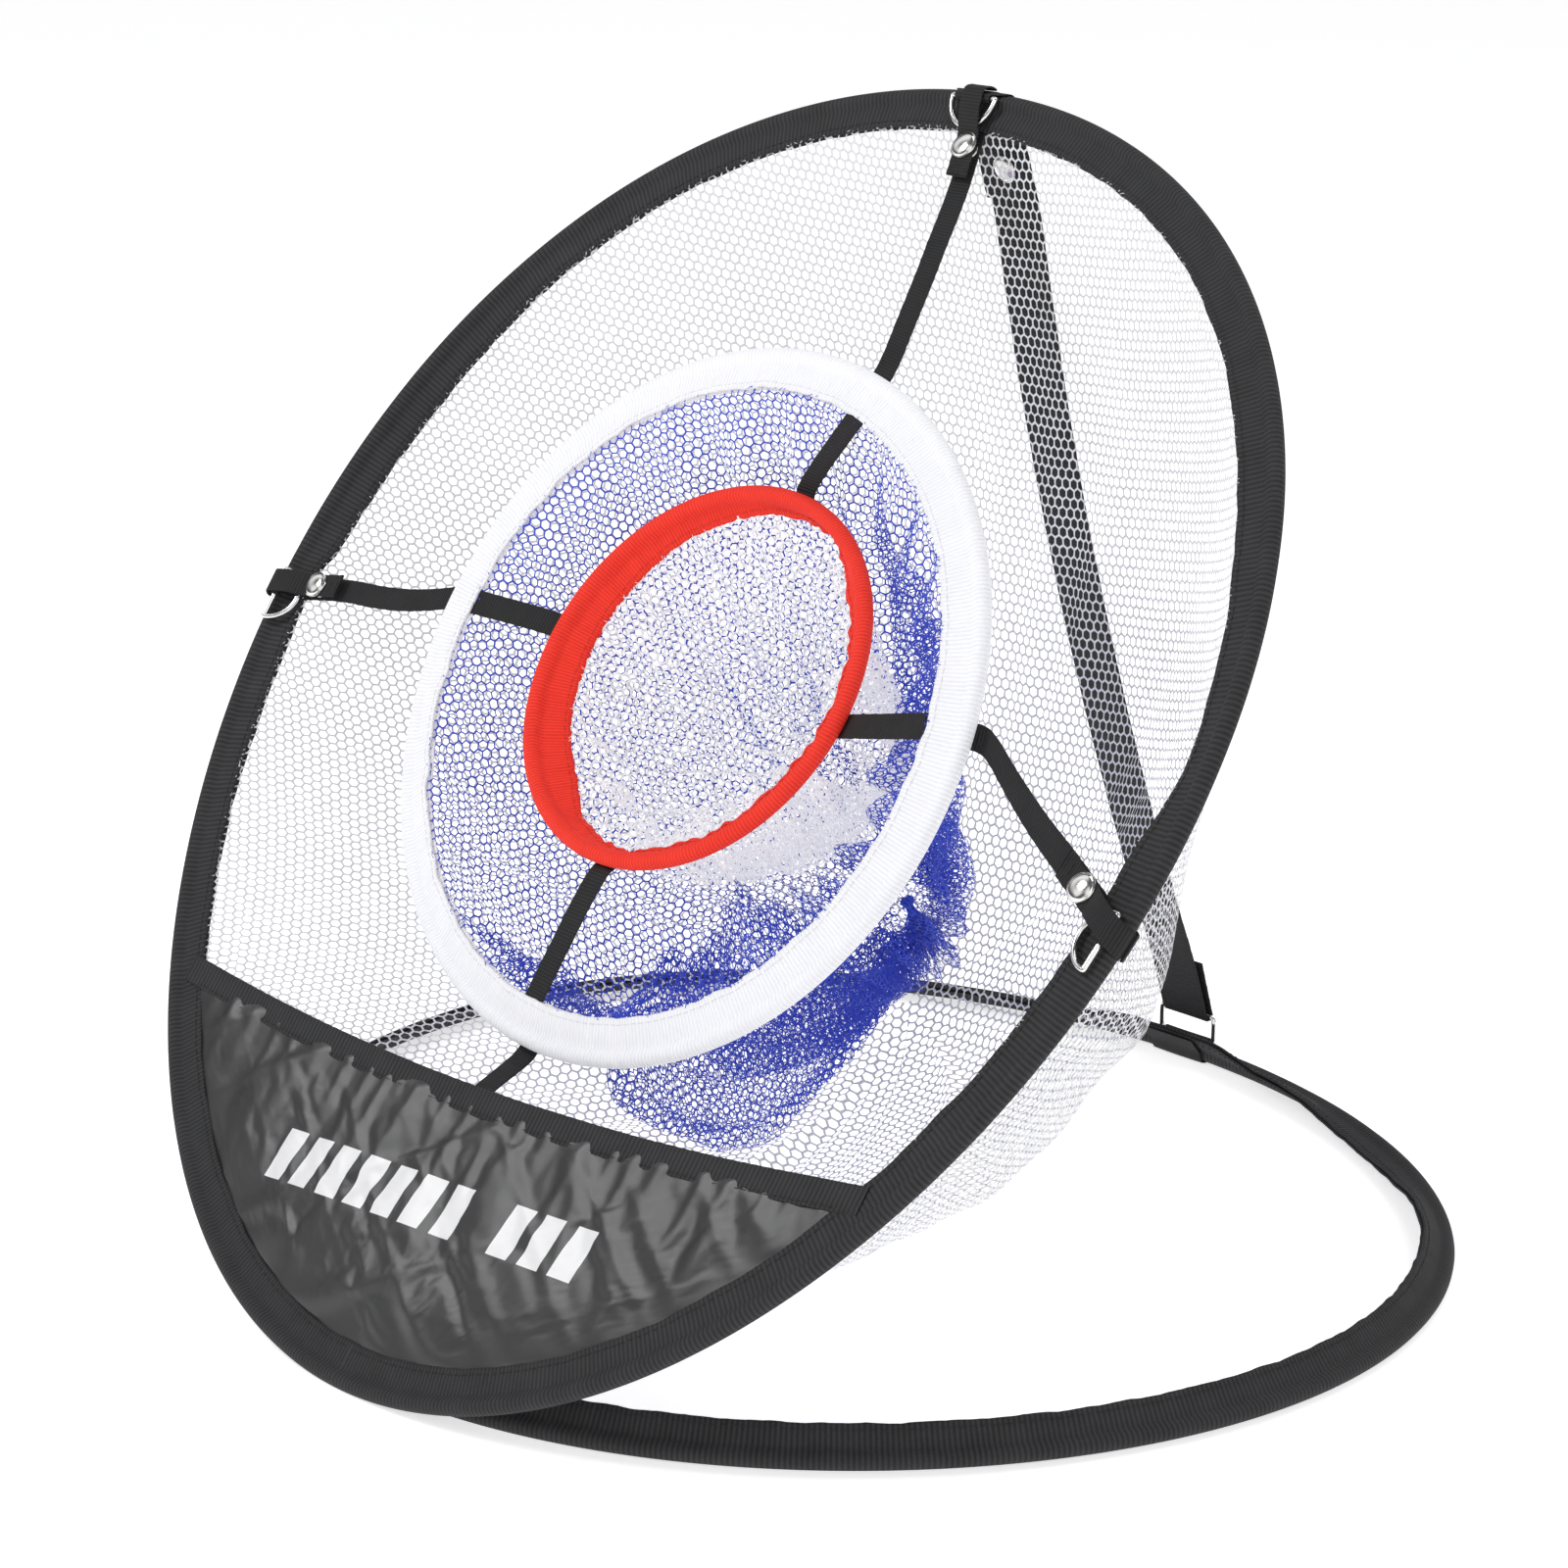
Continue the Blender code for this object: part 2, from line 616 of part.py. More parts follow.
def rear_bar(base_place):
    """The middle of the rear D-ring's upper bar, which the strap goes round."""
    return base_place.at(BAR_S, 0, BAR_H) + Vector((0, 0, REAR_RING_REACH))


def rear_direction(top_place, base_place):
    """Down the rear strap, from the top of the face to its D-ring."""
    return (rear_bar(base_place) - top_place.at(TUBE_RADIUS)).normalized()


def add_rear(top_place, base_place, webbing, steel):
    """The rear strap from the top of the face down to its D-ring on the base, with its loop and tail."""
    bar = base_place.at(BAR_S, 0, BAR_H)
    upper = rear_bar(base_place)
    x_axis = Vector((1, 0, 0))
    flat, upright = 0.9, 0.8  # shares of the half width and the reach where the corners' bevels start
    path = []
    for side_u, side_z in ((1, 0), (1, upright), (flat, 1), (-flat, 1), (-1, upright), (-1, 0)):
        path.append(bar + x_axis * (REAR_RING_HALF_WIDTH * side_u) + Vector((0, 0, REAR_RING_REACH * side_z)))
    path += [bar - x_axis * (REAR_RING_HALF_WIDTH * 0.4), bar + x_axis * (REAR_RING_HALF_WIDTH * 0.4)]
    add_loop("rear_dring", path, Vector((0, 1, 0)), RING_WIRE, steel, origin=bar)

    # Tab round the base hoop, flat underneath where the object rests
    tube = base_place.at(TUBE_RADIUS)
    wrap = TUBE_RADIUS + GAP + TAB_THICK / 2 + 0.45 * MM
    under = [
        tube + Vector((0, math.cos(math.radians(a)), math.sin(math.radians(a)))) * wrap
        for a in (180, 240, 300, 360, 405)
    ]
    behind = SLOT_HALF + TAPE_WALL + GAP + TAB_THICK / 2
    start = [base_place.at(s, 0, -behind) for s in (15 * MM, 9 * MM)]
    hook = [base_place.at(s, 0, h) for s, h in bar_hook()]
    half_widths = [14 * MM] * (len(start) + len(under)) + [12.5 * MM] * len(hook)
    add_strap("rear_tab", start + under + hook, [x_axis * w for w in half_widths], TAB_THICK, webbing)

    # Strap: over the top of the face, down the back, round the ring's upper bar
    loop_radius = SNAP_STACK / 2
    down = rear_direction(top_place, base_place)
    out = Vector((0, -down.z, down.y))  # out of the strap's rear side
    front_leg = [upper - out * loop_radius - down * t for t in (30 * MM, 0.0)]
    turn_in = upper - out * (loop_radius * 0.75) + down * (loop_radius * 0.75)

    radius = TUBE_RADIUS + GAP + TAB_THICK / 2 + 0.15 * MM
    away = (down.dot(top_place.s), down.dot(top_place.h))
    route = arc((TUBE_RADIUS, 0), radius, leg_angle(away), 135, 5)
    leg_start = route[0]
    leg_end = (leg_start[0] + away[0] * 44 * MM, leg_start[1] + away[1] * 44 * MM)
    path = [top_place.at(s, 0, h) for s, h in [leg_end, *route, *bar_hook()]]
    half_widths = [14 * MM] * 6 + [9 * MM] * 6
    tab = add_strap("tab_top", path, [x_axis * w for w in half_widths], TAB_THICK, webbing)

    apart = (TAB_THICK + REAR_THICK) / 2 + GAP
    leg = top_place.at(leg_start[0], 0, leg_start[1])
    begin = leg + down * (9 * MM) + out * apart
    second = leg + down * (50 * MM) + out * apart
    sag = Vector((0, -0.010, 0))
    run = []
    for i in range(1, 9):
        share = i / 9
        run.append(second.lerp(front_leg[0], share) + sag * (4 * share * (1 - share)))
    path = [begin, second, *run, *front_leg, turn_in]
    half = x_axis * (REAR_WIDTH / 2)
    strap = add_strap("rear_strap", path, [half] * len(path), REAR_THICK, webbing)
    snap_middle = leg + down * (30 * MM) + out * (apart / 2)
    drill(tab, snap_middle, out, depth=6 * MM)
    drill(strap, snap_middle, out, depth=6 * MM)
    pile = (TAB_THICK + REAR_THICK + GAP) / 2 + GAP
    profile = [(0, -pile - 0.6 * MM), (3.5 * MM, -pile - 0.6 * MM), (3.5 * MM, -pile), (SHANK_RADIUS, -pile)]
    profile += [(SHANK_RADIUS, pile), (CAP_RADIUS * 0.96, pile), (CAP_RADIUS, pile + 0.5 * MM)]
    profile += [(CAP_RADIUS * 0.8, pile + 1.5 * MM), (0, pile + CAP_HEIGHT)]
    add_turned("rear_top_snap", snap_middle, -out, profile, steel)

    # Tail, snapped up behind the strap
    turn_out = upper + out * (loop_radius * 0.75) + down * (loop_radius * 0.75)
    tail_path = [turn_out, upper + out * loop_radius, upper + out * loop_radius - down * (25 * MM)]
    tail = add_strap("rear_tail", tail_path, [half] * 3, STRAP_THICK, webbing)
    tail_middle = upper + out * loop_radius - down * (13 * MM)
    strap_middle = upper - out * loop_radius - down * (13 * MM)
    drill(tail, tail_middle, out)
    drill(strap, strap_middle, out)
    add_cap("rear_cap", tail_middle, out, STRAP_THICK, steel)
    add_socket("rear_socket", tail_middle, out, STRAP_THICK, steel)
    add_stud("rear_stud", strap_middle, out, REAR_THICK, steel)


def build():
    clear_scene()
    black = make_material("black_webbing", (0.022, 0.022, 0.025), 0.75)
    white = make_material("white_webbing", (0.85, 0.86, 0.88), 0.7)
    red = make_material("red_webbing", (0.85, 0.05, 0.03), 0.6)
    nylon = make_material("black_nylon", (0.03, 0.03, 0.033), 0.4)
    white_mesh = make_material("white_netting", (0.82, 0.83, 0.85), 0.6)
    blue_mesh = make_material("blue_netting", (0.05, 0.08, 0.6), 0.6)
    spring = make_material("spring_steel", (0.5, 0.5, 0.52), 0.35, 1.0)
    nickel = make_material("nickel_plate", (0.75, 0.75, 0.77), 0.15, 1.0)

    face_plane = Plane((0, HINGE_Y, FACE_LIFT), FACE_TILT)
    outline = [egg(a, FACE_HALF_WIDTH, FACE_HALF_HEIGHT, FACE_EGG) for a in hoop_angles(FACE_CLOCK)]
    face = Hoop(face_plane, outline)
    tab_level = (TUBE_RADIUS + GAP + TAB_THICK / 2 + 0.45 * MM) * math.cos(math.radians(30)) + TAB_THICK / 2
    ground = Ground((0, HINGE_Y + BASE_FRONT, tab_level))
    outline = [egg(a, BASE_HALF_WIDTH, BASE_HALF_DEPTH, BASE_EGG) for a in hoop_angles(BASE_CLOCK)]
    base = Hoop(ground, outline, BASE_LEAN)
    middle_plane = Plane(face_plane.at(0, MIDDLE_CENTRE_V), MIDDLE_TILT)
    circle = [(MIDDLE_RADIUS * math.sin(a), -MIDDLE_RADIUS * math.cos(a)) for a in hoop_angles(MIDDLE_CLOCK)]
    middle = Hoop(middle_plane, circle, MIDDLE_LEAN)
    inner_plane = Plane(face_plane.at(0, INNER_CENTRE_V), FACE_TILT)
    circle = [(INNER_RADIUS * math.sin(a), -INNER_RADIUS * math.cos(a)) for a in hoop_angles(INNER_CLOCK)]
    inner = Hoop(inner_plane, circle, INNER_LEAN)

    add_binding(face, "face", black, spring)
    add_binding(base, "base", black, spring, angles=(86, 136, 191, 251, 290))
    add_binding(middle, "middle", white, spring)
    add_binding(inner, "inner", red, spring)
    add_net("outer_net", face, OUTER_NET, white_mesh)
    add_net("middle_net", middle, MIDDLE_NET, blue_mesh)
    add_net("inner_net", inner, INNER_NET, white_mesh)
    knot_u, knot_v = MIDDLE_NET["centre"]
    knot = middle_plane.at(knot_u, knot_v, -MIDDLE_NET["depth"] - NET_THICK - 2 * GAP)
    profile = [(0, 0), (5 * MM, 1.5 * MM), (4 * MM, 5 * MM), (9 * MM, 13 * MM), (0, 13 * MM)]
    add_turned("net_knot", knot, -middle_plane.w, profile, blue_mesh, sides=8)
    hem_back = add_panel(face, nylon, black)

    top_spot, rear_spot = face.place(side_at(FACE_CLOCK, 2)), base.place(side_at(BASE_CLOCK, 1))
    down = rear_direction(top_spot, rear_spot)
    for which, where in ((1, "right"), (2, "top"), (3, "left")):
        spot = face.place(side_at(FACE_CLOCK, which))
        ring_spot = middle.place(side_at(MIDDLE_CLOCK, which))
        ds, dq, _ = spot.local(ring_spot.origin)
        slant = dq / ds
        shift = {"right": 4 * MM, "top": 0, "left": -4 * MM}[where]
        add_dring(f"dring_{where}", spot, shift, nickel)
        if where != "top":
            add_tab(f"tab_{where}", spot, 10 * MM, 10 * MM, black)
        away = (down.dot(spot.s), down.dot(spot.h)) if where == "top" else None
        add_keeper(where, spot, slant, black, nickel, away)
        add_main_strap(where, spot, slant, ring_spot, black, nickel)
    for which, where in enumerate(("bottom", "right", "top", "left")):
        outer_spot = middle.place(side_at(MIDDLE_CLOCK, which))
        inner_spot = inner.place(side_at(INNER_CLOCK, which))
        add_inner_strap(where, outer_spot, inner_spot, black)

    ring_spot = middle.place(side_at(MIDDLE_CLOCK, 0))
    level = hem_back - GAP - STRAP_THICK / 2
    start = [face_plane.at(-4 * MM, hem_line(0) + dv, level) for dv in (-5 * MM, 12 * MM)]
    end, end_across = ring_end(ring_spot, STRAP_WIDTH)
    across = [face_plane.u * (STRAP_WIDTH / 2)] * 2 + end_across
    add_strap("strap_bottom", start + end, across, STRAP_THICK, black)

    front_face = face.place(side_at(FACE_CLOCK, 0))
    front_base = base.place(side_at(BASE_CLOCK, 0))
    lean = (front_face.s + front_base.s).normalized()
    between = (front_face.at(TUBE_RADIUS) + front_base.at(TUBE_RADIUS)) / 2
    path = [between + lean * (6.3 * MM), between + lean * (12 * MM)]
    add_strap("hinge_tape", path, [Vector((45 * MM, 0, 0))] * 2, 1.0 * MM, black)

    add_rear(top_spot, rear_spot, black, nickel)


build()
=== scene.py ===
"""Looks of the golf chipping net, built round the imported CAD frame.

Metres, in the CAD's own frame. The face plane has u to the right, v up its slope and w out of its front.
"""

import math

import bpy
import numpy as np
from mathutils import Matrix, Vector


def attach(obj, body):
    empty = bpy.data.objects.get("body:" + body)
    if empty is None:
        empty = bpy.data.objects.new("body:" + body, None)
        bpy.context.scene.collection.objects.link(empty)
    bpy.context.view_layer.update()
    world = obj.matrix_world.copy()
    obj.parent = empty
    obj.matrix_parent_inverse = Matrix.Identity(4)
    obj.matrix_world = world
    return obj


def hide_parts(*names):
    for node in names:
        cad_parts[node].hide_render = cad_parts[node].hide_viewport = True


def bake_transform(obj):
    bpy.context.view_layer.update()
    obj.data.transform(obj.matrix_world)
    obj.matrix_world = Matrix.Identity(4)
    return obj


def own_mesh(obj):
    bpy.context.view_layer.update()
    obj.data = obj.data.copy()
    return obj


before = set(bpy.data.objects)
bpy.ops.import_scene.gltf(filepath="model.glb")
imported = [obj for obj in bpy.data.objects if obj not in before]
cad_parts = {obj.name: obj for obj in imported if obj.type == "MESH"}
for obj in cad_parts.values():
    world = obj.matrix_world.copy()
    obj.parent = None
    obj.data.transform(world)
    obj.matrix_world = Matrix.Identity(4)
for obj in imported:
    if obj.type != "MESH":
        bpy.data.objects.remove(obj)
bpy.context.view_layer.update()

MM = 0.001
RNG = np.random.default_rng(11)

# Placing and outlines, as in the CAD
HINGE_Y = -0.23905
FACE_TILT = math.radians(37.8)
MIDDLE_TILT = math.radians(30.5)
FACE_EGG = (0.244, 0.275, -0.072)  # half width, half height, how much wider at the top
BASE_EGG = (0.255, 0.235, -0.086)
BASE_LEVEL = 3.974 * MM
FACE_CLOCK = ((0.0, 11), (84.0, 13), (180.0, 12), (268.7, 12))
BASE_CLOCK = ((0.0, 24), (180.0, 24))
MIDDLE_CLOCK = ((-5.0, 9), (97.6, 7), (167.0, 8), (263.6, 8))
INNER_CLOCK = ((0.7, 6), (88.6, 6), (174.4, 6), (266.8, 6))
MIDDLE_RADIUS, INNER_RADIUS = 0.142, 0.080
MIDDLE_V, INNER_V = 0.283, 0.294  # how far up the face plane the two target rings hang
BASE_LEAN, MIDDLE_LEAN, INNER_LEAN = math.radians(49), math.radians(15), math.radians(-28)
FACE_LIFT, BASE_FRONT = 0.2 * MM, 7 * MM
TUBE = 3.3 * MM  # radius of a tape where it wraps its wire
TAPE_HALF = 1.8 * MM  # half the thickness of a tape where it lies flat
TUCK = 7 * MM  # how far a net runs on inside its tape
OFF_GROUND = 0.03 * MM
GAP = 0.3 * MM  # between pieces that touch
TAB_THICK, STRAP_THICK, STRAP_WIDTH = 0.5 * MM, 0.8 * MM, 10 * MM
REAR_WIDTH, REAR_THICK = 25 * MM, 1.0 * MM
FINE = 0.8 * MM  # steps of the mesh where a strap turns tightly
BAR_S, BAR_H, RING_WIRE = 4.5 * MM, 5.4 * MM, 1.1 * MM
TAB_RADIUS = TUBE + GAP + TAB_THICK / 2 + 0.15 * MM  # of a tab's bend round a tape
RING_HALF_WIDTH, RING_REACH = 10.9 * MM, 11.8 * MM
SNAP_S, SNAP_STACK = 25 * MM, 3.9 * MM
CAP_RADIUS, CAP_HEIGHT = 5.7 * MM, 2.2 * MM

# The panel's hem, which sags in its middle where the CAD's is straight
HEM_V, HEM_SLOPE, HEM_SAG, HEM_HALF_LENGTH, HEM_WIDTH = 0.131 - 1.5 * MM, 0.034, 14.5 * MM, 0.2, 11 * MM


# ---------------------------------------------------------------- vectors and planes


def unit(a):
    a = np.asarray(a, float)
    return a / np.maximum(np.linalg.norm(a, axis=-1, keepdims=True), 1e-12)


def wave(x, seed):
    """Smooth noise of one number, about -1 to 1."""
    rng = np.random.default_rng(seed)
    total = np.zeros_like(np.asarray(x, float))
    for k in range(3):
        total += np.sin(x * (1.7**k) * rng.uniform(0.8, 1.25) + rng.uniform(0, 6.283)) / 1.4**k
    return total / 1.9


def round_noise(t, rate, seed):
    """The same noise of an angle, made to meet itself after a turn."""
    x = (np.asarray(t, float) % (2 * math.pi)) / (2 * math.pi)
    blend = np.clip((x - 0.93) / 0.07, 0, 1)
    blend = blend * blend * (3 - 2 * blend)
    turn = x * 2 * math.pi
    return wave(turn * rate, seed) * (1 - blend) + wave((turn - 2 * math.pi) * rate, seed) * blend


class Plane:
    def __init__(self, origin, tilt=None):
        self.o = np.array(origin, float)
        self.u = np.array((1.0, 0, 0))
        if tilt is None:
            self.v, self.w = np.array((0, 1.0, 0)), np.array((0, 0, 1.0))
        else:
            self.v = np.array((0, math.sin(tilt), math.cos(tilt)))
            self.w = np.array((0, -math.cos(tilt), math.sin(tilt)))

    def at(self, u, v, w=0.0):
        u, v, w = np.broadcast_arrays(u, v, w)
        return self.o + u[..., None] * self.u + v[..., None] * self.v + w[..., None] * self.w

    def local(self, points):
        d = np.asarray(points) - self.o
        return d @ self.u, d @ self.v, d @ self.w


class Place:
    """A spot on a hoop: s inwards across its tape, q along it, h out of its front."""

    def __init__(self, origin, s, h):
        self.o, self.s = np.array(origin), unit(s)
        self.h = unit(h - self.s * (h @ self.s))
        self.q = np.cross(self.h, self.s)

    def at(self, s, q=0.0, h=0.0):
        s, q, h = np.broadcast_arrays(s, q, h)
        return self.o + s[..., None] * self.s + q[..., None] * self.q + h[..., None] * self.h


class Hoop:
    """A closed outline in a plane; lean gives how far the tape leans to the front, by angle in degrees."""

    def __init__(self, plane, outline, clock, lean, cad_lean=0.0, spread=None):
        self.plane, self.outline, self.clock, self.lean, self.cad_lean = plane, outline, clock, lean, cad_lean
        self.spread = spread or (lambda angle: np.ones_like(angle))

    def across(self, t, s):
        """How far s of the tape reaches inwards where the tape is bunched or spread."""
        return np.minimum(s, 7 * MM) + np.maximum(s - 7 * MM, 0) * self.spread(np.degrees(t) % 360)

    def stations(self, t):
        u, v = self.outline(t)
        u2, v2 = self.outline(t + 1e-4)
        u1, v1 = self.outline(t - 1e-4)
        du, dv = u2 - u1, v2 - v1
        size = np.hypot(du, dv)
        inward = (-dv / size)[:, None] * self.plane.u + (du / size)[:, None] * self.plane.v
        lean = np.radians(self.lean(np.degrees(t) % 360))[:, None]
        s = inward * np.cos(lean) + self.plane.w * np.sin(lean)
        h = self.plane.w * np.cos(lean) - inward * np.sin(lean)
        return self.plane.at(u, v) + inward * TUBE - s * TUBE, s, h

    def spot(self, which):
        """The CAD's place for hardware number which, counted round from the bottom."""
        clock = self.clock
        angle = clock[which][0]
        after = (clock[(which + 1) % len(clock)][0] - angle) % 360 / clock[which][1]
        before = (angle - clock[which - 1][0]) % 360 / clock[which - 1][1]
        ends = np.radians(np.array((angle - before / 2, angle + after / 2)))
        u, v = self.outline(ends)
        a, b = self.plane.at(u, v)
        along = unit(b - a)
        inward = np.cross(self.plane.w, along)
        lean = self.cad_lean
        s = inward * math.cos(lean) + self.plane.w * math.sin(lean)
        h = self.plane.w * math.cos(lean) - inward * math.sin(lean)
        return Place((a + b) / 2 + inward * TUBE - s * TUBE, s, h)


def egg(half_width, half_height, lean):
    return lambda t: (half_width * np.sin(t) * (1 + lean * np.cos(t)), half_height * (1 - np.cos(t)))


def circle(radius):
    return lambda t: (radius * np.sin(t), -radius * np.cos(t))


def by_angle(*pairs):
    """Smooth closed table of a value by angle in degrees."""
    angles = np.array([a for a, _ in pairs], float)
    values = np.array([b for _, b in pairs], float)
    angles = np.concatenate((angles - 360, angles, angles + 360))
    values = np.tile(values, 3)

    def read(angle):
        angle = np.asarray(angle, float)
        i = np.clip(np.searchsorted(angles, angle) - 1, 0, len(angles) - 2)
        x = (angle - angles[i]) / (angles[i + 1] - angles[i])
        x = x * x * (3 - 2 * x)
        return values[i] * (1 - x) + values[i + 1] * x

    return read


face_lean = by_angle(
    (0, 0), (45, 0), (70, -2), (80, 0), (88, 0), (98, -23), (106, -17), (115, -3), (126, 10), (150, 5),
    (172, 0), (188, 0), (210, -5), (232, -15), (241, -27), (249, -35), (257, -30), (263.5, -22), (266.5, -3),
    (271, -3), (276, -8), (290, -4), (320, 0),
)
base_lean = by_angle(
    (0, 49), (60, 52), (100, 50), (125, 44), (150, 8), (168, 30), (176, 49), (184, 49), (194, 25), (230, 20),
    (270, 35), (300, 49),
)
middle_lean = by_angle((0, 15), (60, 17), (120, 16), (180, 12), (240, 14), (300, 16))
inner_lean = by_angle(
    (0, -52), (25, -34), (60, -24), (95, -30), (135, -34), (160, -60), (182, -54), (215, -44), (245, -36), (285, -34),
    (320, -40), (342, -54),
)
inner_spread = by_angle(
    (0, 0.5), (20, 0.62), (45, 0.5), (90, 0.7), (130, 0.75), (158, 0.25), (175, 0.4), (215, 0.7), (250, 1.0),
    (285, 1.15), (318, 1.25), (340, 0.8),
)

face_plane = Plane((0, HINGE_Y, FACE_LIFT), FACE_TILT)
ground = Plane((0, HINGE_Y + BASE_FRONT, BASE_LEVEL))
middle_plane = Plane(face_plane.at(0.0, MIDDLE_V), MIDDLE_TILT)
inner_plane = Plane(face_plane.at(0.0, INNER_V), FACE_TILT)
face = Hoop(face_plane, egg(*FACE_EGG), FACE_CLOCK, face_lean)
base = Hoop(ground, egg(*BASE_EGG), BASE_CLOCK, base_lean, BASE_LEAN)
middle = Hoop(middle_plane, circle(MIDDLE_RADIUS), MIDDLE_CLOCK, middle_lean, MIDDLE_LEAN)
inner = Hoop(inner_plane, circle(INNER_RADIUS), INNER_CLOCK, inner_lean, INNER_LEAN, inner_spread)


# ---------------------------------------------------------------- materials


class Look:
    """A material, and short ways to add nodes to it."""

    def __init__(self, name):
        self.material = bpy.data.materials.new(name)
        self.material.use_nodes = True
        self.tree = self.material.node_tree
        self.shader = self.tree.nodes["Principled BSDF"]

    def node(self, kind, **values):
        made = self.tree.nodes.new("ShaderNode" + kind)
        for key, value in values.items():
            if hasattr(made, key):
                setattr(made, key, value)
            else:
                made.inputs[key.replace("_", " ")].default_value = value
        return made

    def put(self, value, socket):
        """Gives a socket a node's output, a number or a colour."""
        if isinstance(value, bpy.types.NodeSocket):
            self.tree.links.new(value, socket)
        else:
            socket.default_value = value

    def feed(self, **values):
        """Gives the shader's inputs their values."""
        for key, value in values.items():
            self.put(value, self.shader.inputs[key.replace("_", " ")])

    def maths(self, operation, *values):
        made = self.node("Math", operation=operation)
        for value, socket in zip(values, made.inputs):
            self.put(value, socket)
        return made.outputs[0]

    def weighed(self, *pairs, plus=0.0):
        """The sum of outputs times their weights."""
        for output, weight in pairs:
            plus = self.maths("ADD", self.maths("MULTIPLY", output, weight), plus)
        return plus

    def mixed(self, factor, *colours):
        made = self.node("MixRGB")
        self.put(factor, made.inputs[0])
        for colour, socket in zip(colours, made.inputs[1:]):
            self.put((*colour, 1) if isinstance(colour, tuple) else colour, socket)
        return made.outputs[0]

    def noise(self, scale, detail):
        made = self.node("TexNoise", Scale=scale, Detail=detail)
        self.put(self.node("TexCoord").outputs["Object"], made.inputs["Vector"])
        return made.outputs[0]

    def weave(self):
        """A piece's own UVs, in metres."""
        split = self.node("SeparateXYZ")
        self.put(self.node("UVMap", uv_map="weave").outputs[0], split.inputs[0])
        return split.outputs[0], split.outputs[1]

    def ribs(self, output, pitch, shift=0.0):
        """A sine wave from 0 to 1."""
        turn = self.weighed((output, 2 * math.pi / pitch), plus=shift)
        return self.weighed((self.maths("SINE", turn), 0.5), plus=0.5)

    def dent(self, height, strength, distance):
        made = self.node("Bump", Strength=strength, Distance=distance)
        self.put(height, made.inputs["Height"])
        self.feed(Normal=made.outputs[0])


def webbing_material(name, dark, light, pitch, bump=1.0, painted_glow=0.0):
    """Ribbed grosgrain: ribs run across the tape and repeat along it. UVs run along and across."""
    look = Look(name)
    along, across = look.weave()
    cloud, fuzz = look.noise(90.0, 3.0), look.noise(2600.0, 2.0)
    ribs = look.ribs(along, pitch, look.maths("MULTIPLY", cloud, 1.2))
    yarns = look.ribs(across, 0.45 * MM)
    height = look.weighed((ribs, 0.8), (yarns, 0.2), (fuzz, 0.35))
    # Partly painted shade and highlight: the colour follows the height that makes the bump, darker in the rib valleys
    # and lighter on the crests; the cloud noise is the tape's own uneven tone.
    colour = look.mixed(look.weighed((height, 0.62), (cloud, 0.35)), dark, light)
    # Painted light: an emission glow in the tape's own colour makes it brighter than its lamps alone would.
    look.feed(Base_Color=colour, Emission_Color=colour, Emission_Strength=painted_glow)
    look.feed(Roughness=look.weighed((fuzz, 0.2), plus=0.62), Specular_IOR_Level=0.3)
    look.dent(height, bump, 0.24 * MM)
    return look.material


def thread_material(name, dark, light, roughness=0.6, painted_glow=0.0):
    """Knitted or twisted yarn: fine fuzz and a slow change of tone. Its glow is painted light: emission lifts the
    threads out of their shade, standing for light that comes through.
    """
    look = Look(name)
    fuzz, slow = look.noise(900.0, 3.0), look.noise(14.0, 2.0)
    look.feed(Base_Color=look.mixed(look.weighed((fuzz, 0.6), (slow, 0.4)), dark, light))
    # Painted light: an emission glow lifts the threads out of their shade.
    look.feed(Emission_Color=(0.96, 0.96, 1.0, 1), Emission_Strength=painted_glow)
    look.feed(Roughness=roughness, Specular_IOR_Level=0.3)
    look.dent(fuzz, 0.6, 0.15 * MM)
    return look.material


def nylon_material(name):
    """Thin shiny woven nylon with a plain printed band of slanted white bars. UVs are u and v of the face plane."""
    look = Look(name)
    u, v = look.weave()
    cloud, grain = look.noise(35.0, 4.0), look.noise(1800.0, 2.0)
    yarn = 2 * math.pi / (0.55 * MM)
    warp, weft = (look.maths("SINE", look.maths("MULTIPLY", x, yarn)) for x in (u, v))
    weave = look.weighed((look.maths("MULTIPLY", warp, weft), 0.5), plus=0.5)
    cloth = look.mixed(look.weighed((weave, 0.4), (cloud, 0.6)), (0.005, 0.005, 0.0055), (0.016, 0.016, 0.0175))
    # Printed bars, parallel to the hem: seven, a space, then three
    left, bottom, slope, slant, pitch, half_height = 0.082, 0.0735, 0.062, 0.12, 15.8 * MM, 10.2 * MM
    rise = look.maths("SUBTRACT", v, look.weighed((u, slope), plus=bottom))
    place = look.maths("SUBTRACT", look.maths("ADD", u, left), look.maths("MULTIPLY", rise, slant))
    cell = look.maths("MULTIPLY", place, 1 / pitch)
    from_space = look.maths("ABSOLUTE", look.maths("SUBTRACT", cell, 7.45))
    worn = look.weighed((grain, 0.3), plus=cloud)
    mask = look.maths("LESS_THAN", look.maths("FRACT", cell), 0.66)
    for test in (
        look.maths("GREATER_THAN", cell, 0.0),
        look.maths("LESS_THAN", cell, 11.0),
        look.maths("LESS_THAN", look.maths("ABSOLUTE", rise), half_height),
        look.maths("GREATER_THAN", from_space, 0.55),
        look.maths("GREATER_THAN", worn, 0.42),
    ):
        mask = look.maths("MULTIPLY", mask, test)
    look.feed(Base_Color=look.mixed(mask, cloth, (0.86, 0.86, 0.87)))
    look.feed(Roughness=look.weighed((cloud, 0.2), plus=0.24), Specular_IOR_Level=1.0)
    look.dent(look.weighed((grain, 0.5), plus=weave), 0.35, 0.12 * MM)
    return look.material


def metal_material(name, colour, roughness):
    look = Look(name)
    marks = look.noise(400.0, 5.0)
    look.feed(Base_Color=look.mixed(marks, tuple(c * 0.86 for c in colour), colour), Metallic=1.0)
    look.feed(Roughness=look.weighed((marks, 0.16), plus=roughness - 0.08))
    look.dent(marks, 0.12, 0.05 * MM)
    return look.material


